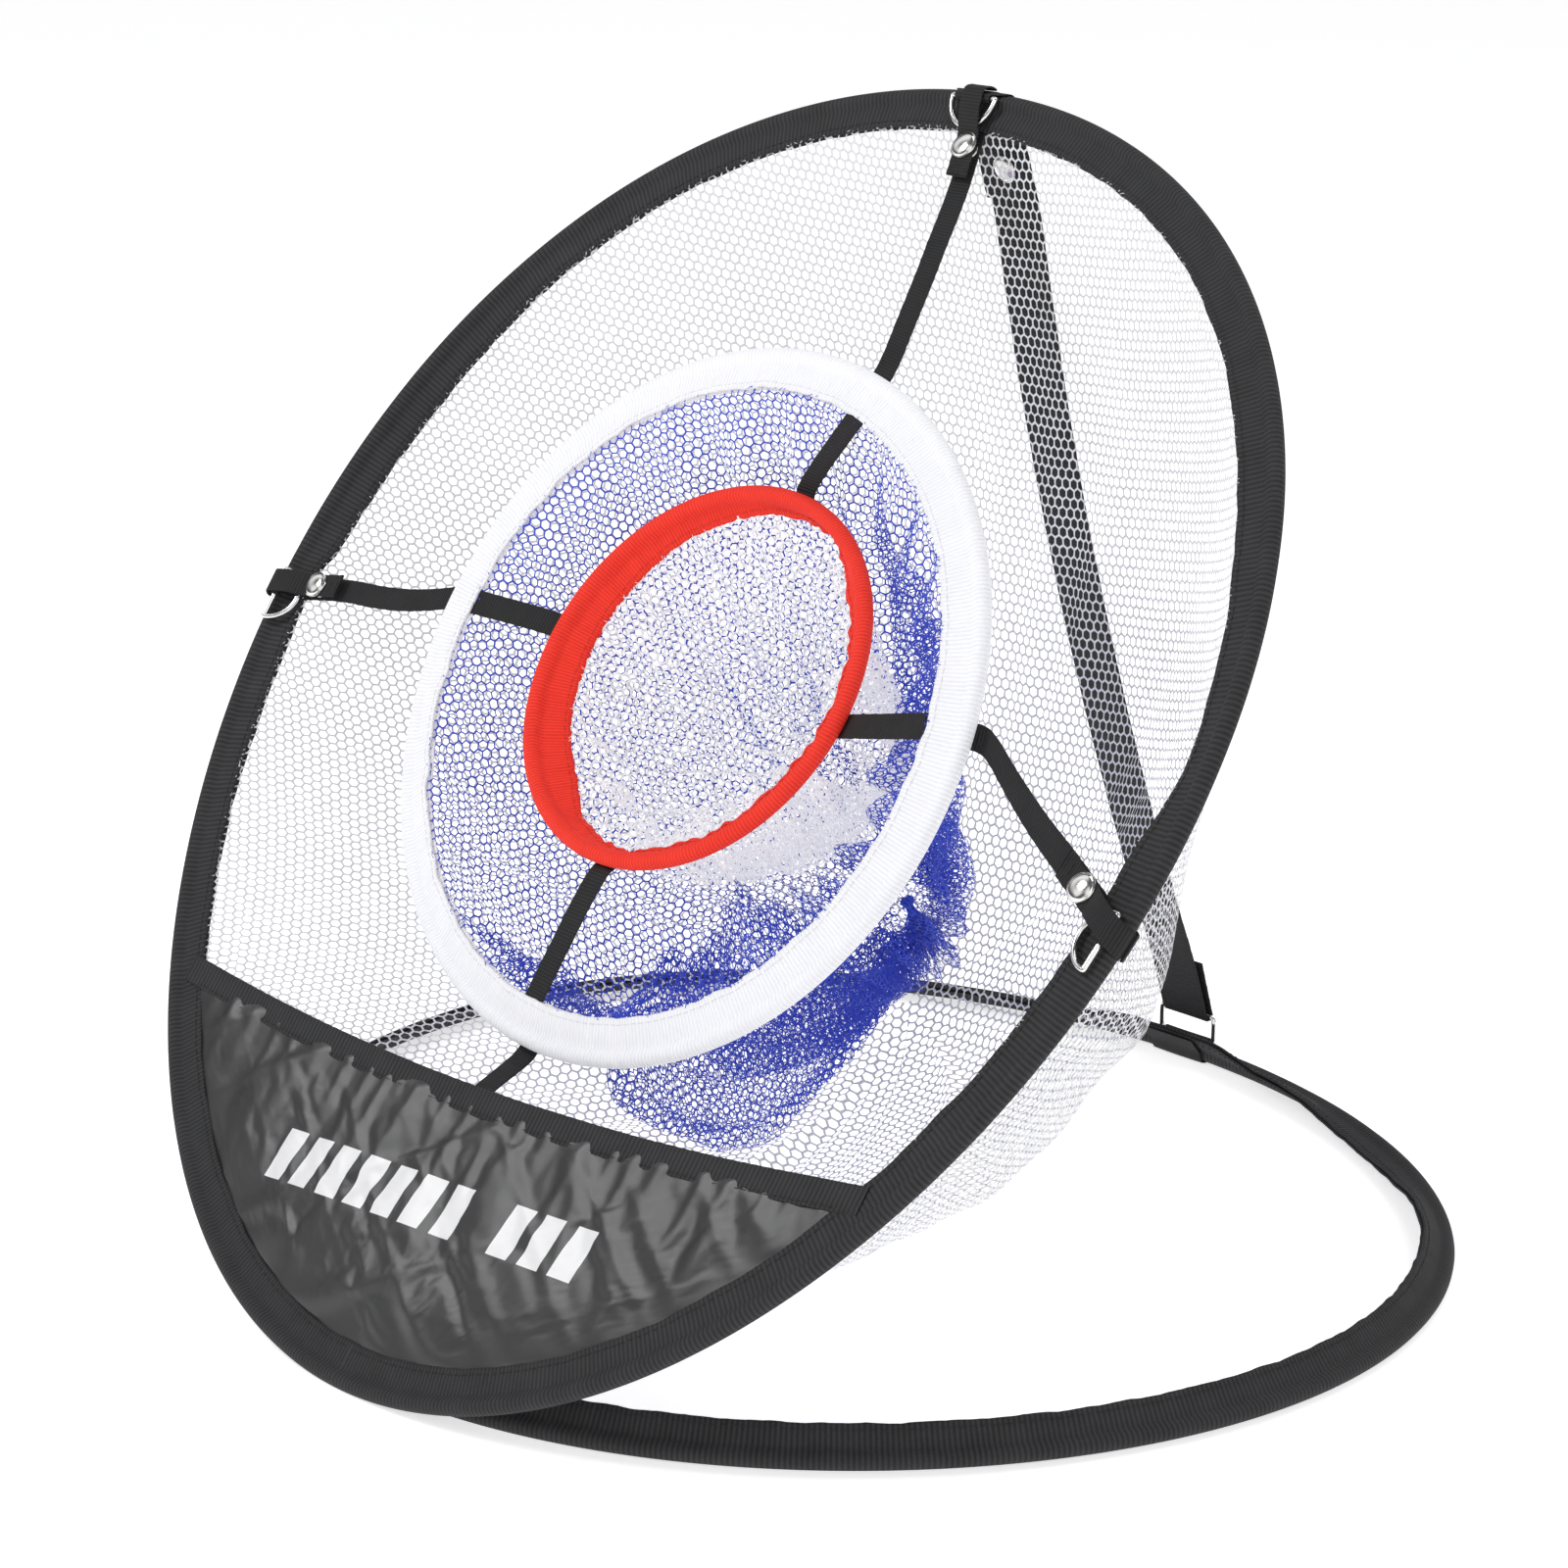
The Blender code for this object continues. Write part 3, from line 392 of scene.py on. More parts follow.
BLACK_TAPE = webbing_material("black grosgrain", (0.002, 0.002, 0.0022), (0.05, 0.05, 0.053), 2.0 * MM)
BLACK_STRAP = webbing_material("black strap", (0.002, 0.002, 0.0022), (0.03, 0.03, 0.032), 1.4 * MM)
# Painted light: the white and red tapes glow by emission, which lifts their shade.
WHITE_TAPE = webbing_material("white grosgrain", (0.74, 0.74, 0.8), (0.98, 0.98, 1.0), 1.7 * MM, painted_glow=0.12)
RED_TAPE = webbing_material("red grosgrain", (0.62, 0.014, 0.008), (1.0, 0.05, 0.026), 1.5 * MM, 0.9, 0.1)
# Painted light: the two white nets glow by emission, which lifts their shaded threads.
VEIL_NET = thread_material("white bag netting", (0.6, 0.6, 0.612), (0.8, 0.8, 0.812), painted_glow=0.05)
WHITE_NET = thread_material("white netting", (0.8, 0.8, 0.81), (0.93, 0.93, 0.94), painted_glow=0.14)
BLUE_NET = thread_material("blue netting", (0.02, 0.045, 0.4), (0.06, 0.11, 0.78))
BLACK_THREAD = thread_material("black thread", (0.012, 0.012, 0.012), (0.05, 0.05, 0.05), 0.8)
WHITE_THREAD = thread_material("white thread", (0.7, 0.71, 0.74), (0.92, 0.92, 0.94), 0.7)
RED_THREAD = thread_material("red thread", (0.5, 0.03, 0.02), (0.8, 0.06, 0.04), 0.7)
NYLON = nylon_material("black nylon")
NICKEL = metal_material("polished nickel", (0.86, 0.85, 0.83), 0.13)
STEEL = metal_material("spring steel", (0.42, 0.42, 0.43), 0.38)


# ---------------------------------------------------------------- mesh building


def add_object(name, data):
    made = bpy.data.objects.new(name, data)
    bpy.context.scene.collection.objects.link(made)
    return made


def piece(name, points, faces, material, body, replaces=(), uv=None):
    """A mesh object that rides on a body. faces is an index array or a list of them; uv is one pair for each point."""
    mesh = bpy.data.meshes.new(name)
    groups = [faces] if isinstance(faces, np.ndarray) else faces
    points = np.asarray(points, np.float32).reshape(-1, 3)
    loops = np.concatenate([g.reshape(-1) for g in groups]).astype(np.int32)
    sizes = np.concatenate([np.full(len(g), g.shape[1]) for g in groups]).astype(np.int32)
    mesh.vertices.add(len(points))
    mesh.vertices.foreach_set("co", points.reshape(-1))
    mesh.loops.add(len(loops))
    mesh.loops.foreach_set("vertex_index", loops)
    mesh.polygons.add(len(sizes))
    mesh.polygons.foreach_set("loop_start", np.concatenate(((0,), np.cumsum(sizes)[:-1])).astype(np.int32))
    mesh.polygons.foreach_set("use_smooth", np.full(len(sizes), True))
    mesh.update(calc_edges=True)
    if uv is not None:
        layer = mesh.uv_layers.new(name="weave")
        layer.data.foreach_set("uv", np.asarray(uv, np.float32)[loops].reshape(-1))
    mesh.materials.append(material)
    made = add_object(name, mesh)
    if body:
        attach(made, body)
    if replaces:
        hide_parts(*replaces)
    return made


def grid_faces(rows, columns, wrap_rows=False, wrap_columns=False):
    """Quads of a grid of points numbered row by row."""
    r = np.arange(rows if wrap_rows else rows - 1)
    c = np.arange(columns if wrap_columns else columns - 1)
    r, c = np.meshgrid(r, c, indexing="ij")
    r2, c2 = (r + 1) % rows, (c + 1) % columns
    return np.stack((r * columns + c, r * columns + c2, r2 * columns + c2, r2 * columns + c), -1).reshape(-1, 4)


def chaikin(points, times):
    """An open path with its corners cut round."""
    points = np.asarray(points, float)
    for _ in range(times):
        a, b = points[:-1], points[1:]
        inside = np.stack((a * 0.75 + b * 0.25, a * 0.25 + b * 0.75), 1).reshape(-1, points.shape[1])
        points = np.concatenate((points[:1], inside[1:-1], points[-1:]))
    return points


def closed_chaikin(path, times, cut):
    """A closed path with its corners cut round."""
    for _ in range(times):
        after = np.roll(path, -1, 0)
        path = np.stack((path * (1 - cut) + after * cut, path * cut + after * (1 - cut)), 1).reshape(-1, 3)
    return path


def distances(points):
    """How far along a path each of its points lies."""
    return np.concatenate(((0,), np.cumsum(np.linalg.norm(np.diff(points[:, :3], axis=0), axis=1))))


def resample(points, step):
    """An open path again, with even steps. Extra columns go with the first three."""
    long = distances(points)
    at = np.linspace(0, long[-1], max(3, int(long[-1] / step) + 1))
    return np.stack([np.interp(at, long, points[:, k]) for k in range(points.shape[1])], 1)


def end_caps(rows, sides):
    return np.array([np.arange(sides)[::-1], np.arange(sides) + (rows - 1) * sides])


def tube_mesh(path, radius, sides=8, closed=False, normal=None):
    """Points and faces of a round thread or wire along a path."""
    path = np.asarray(path, float)
    if closed:
        along = unit(np.roll(path, -1, 0) - np.roll(path, 1, 0))
    else:
        along = unit(np.gradient(path, axis=0))
    up = np.array(normal, float) if normal is not None else np.array((0.13, 0.21, 0.97))
    side = unit(np.cross(along, up))
    up = np.cross(side, along)
    turns = np.arange(sides) * 2 * math.pi / sides
    radius = np.broadcast_to(radius, len(path))[:, None, None]
    ring = side[:, None] * np.cos(turns)[None, :, None] + up[:, None] * np.sin(turns)[None, :, None]
    points = (path[:, None] + ring * radius).reshape(-1, 3)
    faces = [grid_faces(len(path), sides, wrap_rows=closed, wrap_columns=True)]
    if not closed:
        faces.append(end_caps(len(path), sides))
    return points, faces


def joined(parts):
    """Several (points, faces) as one. faces may be a list of index arrays."""
    points, groups, start = [], {}, 0
    for p, f in parts:
        for g in f if isinstance(f, list) else [f]:
            groups.setdefault(g.shape[1], []).append(g + start)
        points.append(p)
        start += len(p)
    return np.concatenate(points), [np.concatenate(g) for g in groups.values()]


# ---------------------------------------------------------------- straps, tapes and stitches


def strip_mesh(path, half, thick, seed, step):
    """A woven strip: rounded edges that waver a little. path and half are rows of points and half-width vectors."""
    edge = 0.12 * MM
    line = resample(np.concatenate((path, half), 1), step)
    path, half = line[:, :3], line[:, 3:]
    along = unit(np.gradient(path, axis=0))
    width = np.linalg.norm(half, axis=1)
    side = unit(half)
    normal = unit(np.cross(side, along))
    n = len(path)
    long = distances(path)
    upper = [(-1, 0), (-0.985, 0.36), (-0.93, 0.5), (-0.5, 0.5), (0, 0.5), (0.5, 0.5), (0.93, 0.5), (0.985, 0.36)]
    section = np.array(upper + [(-a, -b) for a, b in upper])
    waver = np.stack((wave(long * 900, seed), wave(long * 900, seed + 1)), 1) * edge
    points = np.zeros((n, len(section), 3))
    for k, (a, b) in enumerate(section):
        drift = waver[:, 0] if a < 0 else waver[:, 1]
        cup = (a * a - 0.4) * wave(long * 120, seed + 2) * 0.18 * MM
        points[:, k] = path + side * (a * width + a * a * drift)[:, None] + normal * (b * thick + cup)[:, None]
    points = points.reshape(-1, 3)
    m = len(section)
    faces = [grid_faces(n, m, wrap_columns=True)]
    quads = np.array([(k, k + 1, m - 1 - k, m - k) for k in range(1, m // 2 - 1)])
    tris = np.array([(0, 1, m - 1), (m // 2 - 1, m // 2, m // 2 + 1)])
    last = (n - 1) * m
    faces += [quads, quads[:, ::-1] + last, tris, tris[:, ::-1] + last]
    uv = np.zeros((n, m, 2))
    uv[..., 0] = long[:, None]
    uv[..., 1] = section[None, :, 0] * width[:, None]
    return points, faces, uv.reshape(-1, 2)


def strap(name, path, half, thick, body, replaces, seed, step=1.6 * MM, material=BLACK_STRAP, round_off=3):
    """A strip along a path of a few points, whose corners are rounded off. half is one vector, or one a point."""
    path = np.asarray(path, float)
    half = np.array(np.broadcast_to(half, path.shape))
    for i in range(1, len(half)):
        if half[i] @ half[0] < 0:
            half[i] = -half[i]
    both = chaikin(np.concatenate((path, half), 1), round_off)
    points, faces, uv = strip_mesh(both[:, :3], both[:, 3:], thick, seed, step)
    return piece(name, points, faces, material, body, replaces, uv)


def stitches(line, out, length=2.6 * MM, gap=0.9 * MM, radius=0.17 * MM):
    """A row of stitches along a path: short arched threads. out is the direction they stand off, for each point."""
    line = resample(np.concatenate((np.asarray(line, float), np.broadcast_to(out, np.shape(line))), 1), 0.5 * MM)
    long = distances(line)
    arch = 0.16 * MM
    parts = []
    for start in np.arange(gap, long[-1] - length, length + gap):
        at = start + np.linspace(0, length, 5)
        p = np.stack([np.interp(at, long, line[:, k]) for k in range(6)], 1)
        lift = np.array((-0.5, 0.6, 1.0, 0.6, -0.5)) * arch
        parts.append(tube_mesh(p[:, :3] + unit(p[:, 3:]) * lift[:, None], radius, sides=5, normal=unit(p[2, 3:])))
    return parts


def tape_section(width):
    """Outer line of the folded tape in (s, h): front edge, round the wire, back edge; then its inner line back."""
    edge = 1.25 * MM
    flat = np.linspace(width, 7.0 * MM, 7)
    top = [(s, edge + (TUBE - edge) * max(0.0, (7.6 * MM - s) / (7.6 * MM - TUBE)) ** 2 * 0.6) for s in flat]
    turn = np.radians(np.linspace(58, 302, 11))
    bend = [(TUBE + TUBE * math.cos(a), TUBE * math.sin(a)) for a in turn]
    outer = top + [(5.9 * MM, 2.2 * MM)] + bend + [(5.9 * MM, -2.2 * MM)] + [(s, -h) for s, h in top[::-1]]
    inner = [(width, -0.5 * MM), (width - 3 * MM, -0.4 * MM), (width - 3 * MM, 0.4 * MM), (width, 0.5 * MM)]
    return np.array(outer), np.array(inner)


def binding(name, hoop, width, material, thread, body, replaces, step=2.2 * MM, wrinkle=0.35, seed=0):
    """The folded tape round a hoop, with wavering edges, slow puckers and a row of stitches."""
    round_way = np.linspace(0, 2 * math.pi, 4000, endpoint=False)
    u, v = hoop.outline(round_way)
    total = np.hypot(np.diff(u, append=u[0]), np.diff(v, append=v[0])).sum()
    n = int(total / step)
    t = np.linspace(0, 2 * math.pi, n)
    origin, s_axis, h_axis = hoop.stations(t)
    long = t / (2 * math.pi) * total
    outer, inner = tape_section(width)
    section = np.concatenate((outer, inner))
    m = len(section)
    points = np.zeros((n, m, 3))
    edge_front = round_noise(t, 40, seed) * 0.3 * MM + round_noise(t, 190, seed + 5) * 0.1 * MM
    edge_back = round_noise(t, 57, seed + 1) * 0.3 * MM
    pucker = round_noise(t, 25, seed + 2) * wrinkle * MM
    ripple = round_noise(t, 120, seed + 3) * 0.12 * MM
    for k, (s, h) in enumerate(section):
        reach = np.clip((s - 5 * MM) / (width - 5 * MM), 0, 1)
        drift = (edge_front if h > 0 else edge_back) * reach**2
        lift = pucker * reach * (1 if k < len(outer) else 0.8) + ripple * reach * (1 - 0.5 * reach)
        points[:, k] = origin + s_axis * (hoop.across(t, s) + drift)[:, None] + h_axis * (h + lift)[:, None]
    points[..., 2] = np.maximum(points[..., 2], OFF_GROUND)
    uv = np.zeros((n, m, 2))
    uv[..., 0] = long[:, None]
    uv[..., 1] = distances(section)[None]
    faces = grid_faces(n, m, wrap_columns=True)[:, ::-1]
    made = piece(name, points.reshape(-1, 3), faces, material, body, replaces, uv.reshape(-1, 2))
    seam = hoop.across(t, width) - 2.5 * MM
    front = origin + s_axis * (seam + edge_front * 0.5)[:, None] + h_axis * (1.3 * MM + pucker * 0.85)[:, None]
    parts = stitches(front, h_axis)
    back = origin + s_axis * seam[:, None] + h_axis * (-1.3 * MM + pucker * 0.85)[:, None]
    parts += stitches(back, -h_axis)
    points, faces = joined(parts)
    points[:, 2] = np.maximum(points[:, 2], OFF_GROUND)
    piece(name + "_stitches", points, faces, thread, body)
    return made


def arc(centre, radius, start, end, steps):
    turns = np.radians(np.linspace(start, end, steps))
    return [(centre[0] + radius * math.cos(a), centre[1] + radius * math.sin(a)) for a in turns]


def bar_hook():
    return arc((BAR_S, BAR_H), RING_WIRE + GAP + TAB_THICK / 2, 180, -60, 9)


# ---------------------------------------------------------------- nets


def settle(points, faces, pinned, frames, stiff, bend, grow=0.0, rest=None, mass=0.08, drag=4, gravity=1.0):
    """Blender's cloth, held by its pinned points. It is larger than its start shape, by grow or by a rest shape."""
    mesh = bpy.data.meshes.new("settling")
    mesh.from_pydata([tuple(p) for p in points], [], [tuple(f) for f in faces.tolist()])
    cloth = add_object("settling", mesh)
    group = cloth.vertex_groups.new(name="held")
    group.add([int(i) for i in np.nonzero(pinned)[0]], 1.0, "REPLACE")
    added = cloth.modifiers.new("cloth", "CLOTH")
    settings = added.settings
    settings.quality = 8
    settings.mass = mass
    settings.tension_stiffness = settings.compression_stiffness = stiff
    settings.shear_stiffness = stiff / 3
    settings.bending_stiffness = bend
    settings.air_damping = drag
    settings.vertex_group_mass = "held"
    settings.shrink_min = -grow
    settings.effector_weights.gravity = gravity
    if rest is not None:
        cloth.shape_key_add(name="start")
        key = cloth.shape_key_add(name="rest")
        key.data.foreach_set("co", np.asarray(rest, np.float32).reshape(-1))
        settings.rest_shape_key = key
    added.collision_settings.use_collision = False
    scene = bpy.context.scene
    for number in range(1, frames + 1):
        scene.frame_set(number)
    evaluated = cloth.evaluated_get(bpy.context.evaluated_depsgraph_get())
    shaped = evaluated.to_mesh()
    found = np.zeros(len(shaped.vertices) * 3, np.float32)
    shaped.vertices.foreach_get("co", found)
    evaluated.to_mesh_clear()
    bpy.data.objects.remove(cloth)
    scene.frame_set(1)
    return found.reshape(-1, 3).astype(float)


def hole_corners(x, y, pitch, thread):
    """The six corners of every hole of a hexagonal mesh. What is left between the holes is thread."""
    turns = np.radians(30 + 60 * np.arange(6))
    corner = (pitch - thread) / math.sqrt(3)
    return (x[:, None] + corner * np.cos(turns)).reshape(-1), (y[:, None] + corner * np.sin(turns)).reshape(-1)


class Bag:
    """A bag net's surface as a grid of directions by distance, from its tip out to where the tape holds it."""

    DIRECTIONS, STEPS = 360, 90

    def __init__(self, hoop, width, depth, centre, up, side, down, stretch=0.85):
        plane = hoop.plane
        t = np.linspace(0, 2 * math.pi, 1440, endpoint=False)
        origin, s_axis, _ = hoop.stations(t)
        edge = origin + s_axis * (hoop.across(t, width) + 0.4 * MM)[:, None]
        deep = origin + s_axis * (hoop.across(t, width) - 9 * MM)[:, None]
        u, v, w = plane.local(edge)
        direction = np.unwrap(np.arctan2(v - centre[1], u - centre[0]))
        order = np.argsort(direction)
        self.angles = np.linspace(-math.pi, math.pi, self.DIRECTIONS, endpoint=False)
        source = direction[order]
        at = (self.angles - source[0]) % (2 * math.pi) + source[0]

        def spread(values):
            values = values[order]
            x = np.concatenate((source, (source[0] + 2 * math.pi,)))
            return np.interp(at, x, np.concatenate((values, values[:1])))

        u, v, w = spread(u), spread(v), spread(w)
        held = np.stack([spread(deep[:, k]) for k in range(3)], 1)
        du, dv = u - centre[0], v - centre[1]
        slope = dv / np.hypot(du, dv)
        fall = side + (up - side) * np.maximum(slope, 0) + (down - side) * np.maximum(-slope, 0)
        fine = np.linspace(0, 1, 400)
        drop = depth * (1 - fine[None] ** 2) ** fall[:, None]
        pu = centre[0] + du[:, None] * fine
        pv = centre[1] + dv[:, None] * fine
        pw = w[:, None] * fine**2 - drop
        points = plane.at(pu, pv, pw)
        steps = np.linalg.norm(np.diff(points, axis=1), axis=2)
        long = np.concatenate((np.zeros((len(at), 1)), np.cumsum(steps, 1)), 1)
        self.length = long[:, -1]
        self.share = np.linspace(0, 1, self.STEPS)
        grid = np.zeros((self.DIRECTIONS, self.STEPS, 3))
        for i in range(self.DIRECTIONS):
            for k in range(3):
                grid[i, :, k] = np.interp(self.share * long[i, -1], long[i], points[i, :, k])
        self.grid, self.held, self.plane, self.stretch = grid, held, plane, stretch

    def normals(self):
        round_way = np.roll(self.grid, -1, 0) - np.roll(self.grid, 1, 0)
        out_way = np.gradient(self.grid, axis=1)
        n = unit(np.cross(round_way, out_way))
        n[:, 0] = self.plane.w
        return np.where((n @ self.plane.w)[..., None] < 0, -n, n)

    def push(self, amount):
        """Moves the surface along its normal, towards the front, by an array for the grid."""
        self.grid = self.grid + self.normals() * amount[..., None]

    def at(self, angle, share):
        """Points of the surface. A share over 1 runs on into the tape."""
        x = (angle + math.pi) / (2 * math.pi) * self.DIRECTIONS
        i = np.floor(x).astype(int)
        fx = (x - i)[:, None]
        i, j = i % self.DIRECTIONS, (i + 1) % self.DIRECTIONS
        y = np.clip(share, 0, 1) * (self.STEPS - 1)
        k = np.minimum(np.floor(y).astype(int), self.STEPS - 2)
        fy = (y - k)[:, None]
        g = self.grid
        p = (g[i, k] * (1 - fx) + g[j, k] * fx) * (1 - fy) + (g[i, k + 1] * (1 - fx) + g[j, k + 1] * fx) * fy
        held = self.held[i] * (1 - fx) + self.held[j] * fx
        past = np.clip((share - 1)[:, None] * self.length[i][:, None] * self.stretch / (8 * MM), 0, 1)
        return p * (1 - past) + held * past

    def netting(self, pitch, thread):
        """Points and faces of the hexagonal mesh: every hole is a hexagon, and the threads are what is left."""
        reach = self.length.max() * self.stretch + 8 * MM
        n = int(reach / pitch / 0.8) + 3
        i, j = np.meshgrid(np.arange(-2 * n, 2 * n + 1), np.arange(-2 * n, 2 * n + 1), indexing="ij")
        i, j = i.reshape(-1), j.reshape(-1)
        x, y = (i + j / 2) * pitch, j * pitch * math.sqrt(3) / 2
        radius = np.hypot(x, y)
        near = np.interp(np.arctan2(y, x), np.append(self.angles, math.pi), np.append(self.length, self.length[0]))
        keep = (radius < near * self.stretch + TUCK) & (radius > 0)
        i, j, x, y = i[keep], j[keep], x[keep], y[keep]
        cut = math.sqrt(len(i) * pitch**2 * math.sqrt(3) / 2)
        self.flat = (cut, cut)
        number = {(a, b): k for k, (a, b) in enumerate(zip(i.tolist(), j.tolist()))}
        px, py = hole_corners(x, y, pitch, thread)
        angle = np.arctan2(py, px)
        size = np.interp(angle, np.append(self.angles, math.pi), np.append(self.length, self.length[0])) * self.stretch
        points = self.at(angle, np.hypot(px, py) / size)
        ways = ((1, 0), (0, 1), (-1, 1))
        quads, tris = [], []
        for (a, b), c in number.items():
            beside = [number.get((a + da, b + db)) for da, db in ways]
            for k, d in enumerate(beside):
                if d is not None:
                    quads.append((6 * c + (k - 1) % 6, 6 * d + (k + 3) % 6, 6 * d + (k + 2) % 6, 6 * c + k))
            for k in (0, 1):
                d, e = beside[k], beside[k + 1]
                if d is not None and e is not None:
                    tris.append((6 * c + k, 6 * d + k + 2, 6 * e + (k + 4) % 6))
        return points, [np.array(quads), np.array(tris)]


class Sleeve(Bag):
    """A bag knitted as a sleeve: sewn round the hoop with more cloth on its slack side, and gathered at its end."""

    ROWS, SKIP = 38, 2

    def __init__(self, hoop, width, depth, centre, falls, length, density, taper, end, pleats, hang, bunch, seed):
        self.pleats = pleats
        super().__init__(hoop, width, depth, centre, *falls, stretch=1.0)
        edge = self.grid[:, -1]
        around = np.linalg.norm(np.roll(edge, -1, 0) - edge, axis=1) * density(np.degrees(self.angles) % 360)
        self.along = np.concatenate(((0,), np.cumsum(around)))
        self.size = np.full(self.DIRECTIONS, length)
        # The far end is a ring of this half width and half height in the hoop's plane
        tip, plane = self.grid[:, 0].mean(0), self.plane
        share = np.linspace(0, 1, self.STEPS)[None, :, None]
        ring = plane.u * (end[0] * np.cos(self.angles))[:, None] + plane.v * (end[1] * np.sin(self.angles))[:, None]
        self.grid = self.grid + ring[:, None] * (1 - share) ** 1.5
        sag = np.sin(np.pi * share[..., 0] ** 0.9) * hang(np.degrees(self.angles) % 360)[:, None]
        self.grid = self.grid - sag[..., None] * np.array((0, 0, 1.0))
        inward = plane.u * -np.cos(self.angles)[:, None] - plane.v * np.sin(self.angles)[:, None]
        self.whole = (self.along[-1] * (taper + (1 - taper) / 1.7), length)
        self.drape(length, taper, seed)
        # A loose fold that lies inside the hoop
        size = bunch(np.degrees(self.angles) % 360) * (1 + 0.35 * round_noise(self.angles, 9, seed + 1))
        middle_share = 0.86 + 0.03 * round_noise(self.angles, 5, seed + 2)
        fold = np.exp(-(((share[..., 0] - middle_share[:, None]) / 0.07) ** 2)) * size[:, None]
        self.grid = self.grid + inward[:, None] * fold[..., None]
        self.length = self.size
        self.tip = tip

    def drape(self, length, taper, seed):
        rng = np.random.default_rng(seed)
        shares = np.linspace(0.02, 1, self.ROWS)
        angle = np.repeat(self.angles[:: self.SKIP], self.ROWS)
        start = self.at(angle, np.tile(shares, len(angle) // self.ROWS))
        total = self.along[-1]
        # Pleats to start the folds, deeper where the rest shape is much longer than the way round
        ring = start.reshape(-1, self.ROWS, 3)
        way = np.roll(ring, -1, 0) - np.roll(ring, 1, 0)
        out = unit(np.cross(way, np.gradient(ring, axis=1)))
        gap = np.linalg.norm(way, axis=2) / 2 + 1e-6
        span = self.along[:: self.SKIP]
        wanted = np.diff(span)[:, None] * (taper + (1 - taper) * shares**0.7)
        more = np.clip(wanted / gap - 1, 0, 3)
        phase = self.pleats * 2 * math.pi * span[:-1, None] / total
        phase = phase + 1.3 * np.stack([wave(shares * 7, seed + int(k * 12 / len(span))) for k in range(len(gap))])
        wavelength = total / self.pleats / (1 + more)
        lift = np.sqrt(more) * 0.4 * wavelength * np.sin(phase) * np.clip((1 - shares) / 0.06, 0, 1)
        start = (ring + out * lift[..., None]).reshape(-1, 3) + rng.normal(0, 0.5 * MM, start.shape)
        turn = 2 * math.pi * self.along[:-1][:: self.SKIP] / total
        radius = total / (2 * math.pi) * (taper + (1 - taper) * shares**0.7)
        fall = np.sqrt(np.maximum((length * np.diff(shares)) ** 2 - np.diff(radius) ** 2, 1e-8))
        level = np.concatenate(((0,), -np.cumsum(fall)))
        rest = np.stack((np.cos(turn)[:, None] * radius, np.sin(turn)[:, None] * radius,
                         np.broadcast_to(level, (len(turn), len(level)))), -1).reshape(-1, 3)
        pinned = np.zeros((len(turn), self.ROWS), bool)
        pinned[:, 0] = pinned[:, -1] = True
        faces = grid_faces(len(turn), self.ROWS, wrap_rows=True)
        start = settle(start, faces, pinned.reshape(-1), 40, 30, 0.001, rest=rest, mass=0.16, drag=2)
        coarse = start.reshape(len(turn), self.ROWS, 3)
        after, before, second = np.roll(coarse, -1, 0), np.roll(coarse, 1, 0), np.roll(coarse, -2, 0)
        between = (9 * (coarse + after) - before - second) / 16
        full = np.stack((coarse, between), 1).reshape(-1, self.ROWS, 3)
        grid = np.zeros((self.DIRECTIONS, self.STEPS, 3))
        fine = np.linspace(0, 1, self.STEPS)
        for i in range(self.DIRECTIONS):
            for k in range(3):
                grid[i, :, k] = np.interp(fine, shares, full[i, :, k])
        grid[:, 1:-1] = grid[:, 1:-1] * 0.5 + (grid[:, :-2] + grid[:, 2:]) * 0.25
        self.grid = grid

    def netting(self, pitch, thread):
        total = self.along[-1]
        columns = int(round(total / pitch))
        pitch = total / columns
        length = self.length[0]
        high = pitch * math.sqrt(3) / 2
        rows = int((length * 0.985 + TUCK) / high)
        j, i = np.meshgrid(np.arange(rows), np.arange(columns), indexing="ij")
        j, i = j.reshape(-1), i.reshape(-1)
        x, y = (i + 0.5 * (j % 2)) * pitch, j * high - TUCK
        self.flat = self.whole
        px, py = hole_corners(x, y, pitch, thread)
        angle = np.interp(px % total, self.along, np.append(self.angles, math.pi))
        points = self.at(angle, 1 - py / length)
        cell = np.arange(rows * columns).reshape(rows, columns)
        right = np.roll(cell, -1, 1)
        odd = (np.arange(rows) % 2 == 1)[:, None]
        above = np.roll(cell, -1, 0)
        up_right = np.where(odd, np.roll(above, -1, 1), above)
        up_left = np.where(odd, above, np.roll(above, 1, 1))
        c, d0, d1, d2 = (a[:-1].reshape(-1) for a in (cell, right, up_right, up_left))
        quads = [np.stack((6 * c + (k - 1) % 6, 6 * d + (k + 3) % 6, 6 * d + (k + 2) % 6, 6 * c + k), -1)
                 for k, d in enumerate((d0, d1, d2))]
        tris = [np.stack((6 * c + k, 6 * d + k + 2, 6 * e + (k + 4) % 6), -1) for k, d, e in ((0, d0, d1), (1, d1, d2))]
        return points, [np.concatenate(quads), np.concatenate(tris)]


def knit(name, bag, pitch, thread, material, body, replaces):
    """The netting of a bag as a piece. Only its threads have area: cover is their share."""
    points, faces = bag.netting(pitch, thread)
    # Yarn isn't flat: each thread lies a little in front of or behind the next
    points = points + RNG.normal(0, 0.05 * MM, points.shape)
    made = piece(name, points, faces, material, body, replaces)
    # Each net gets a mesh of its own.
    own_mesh(made)
    return made


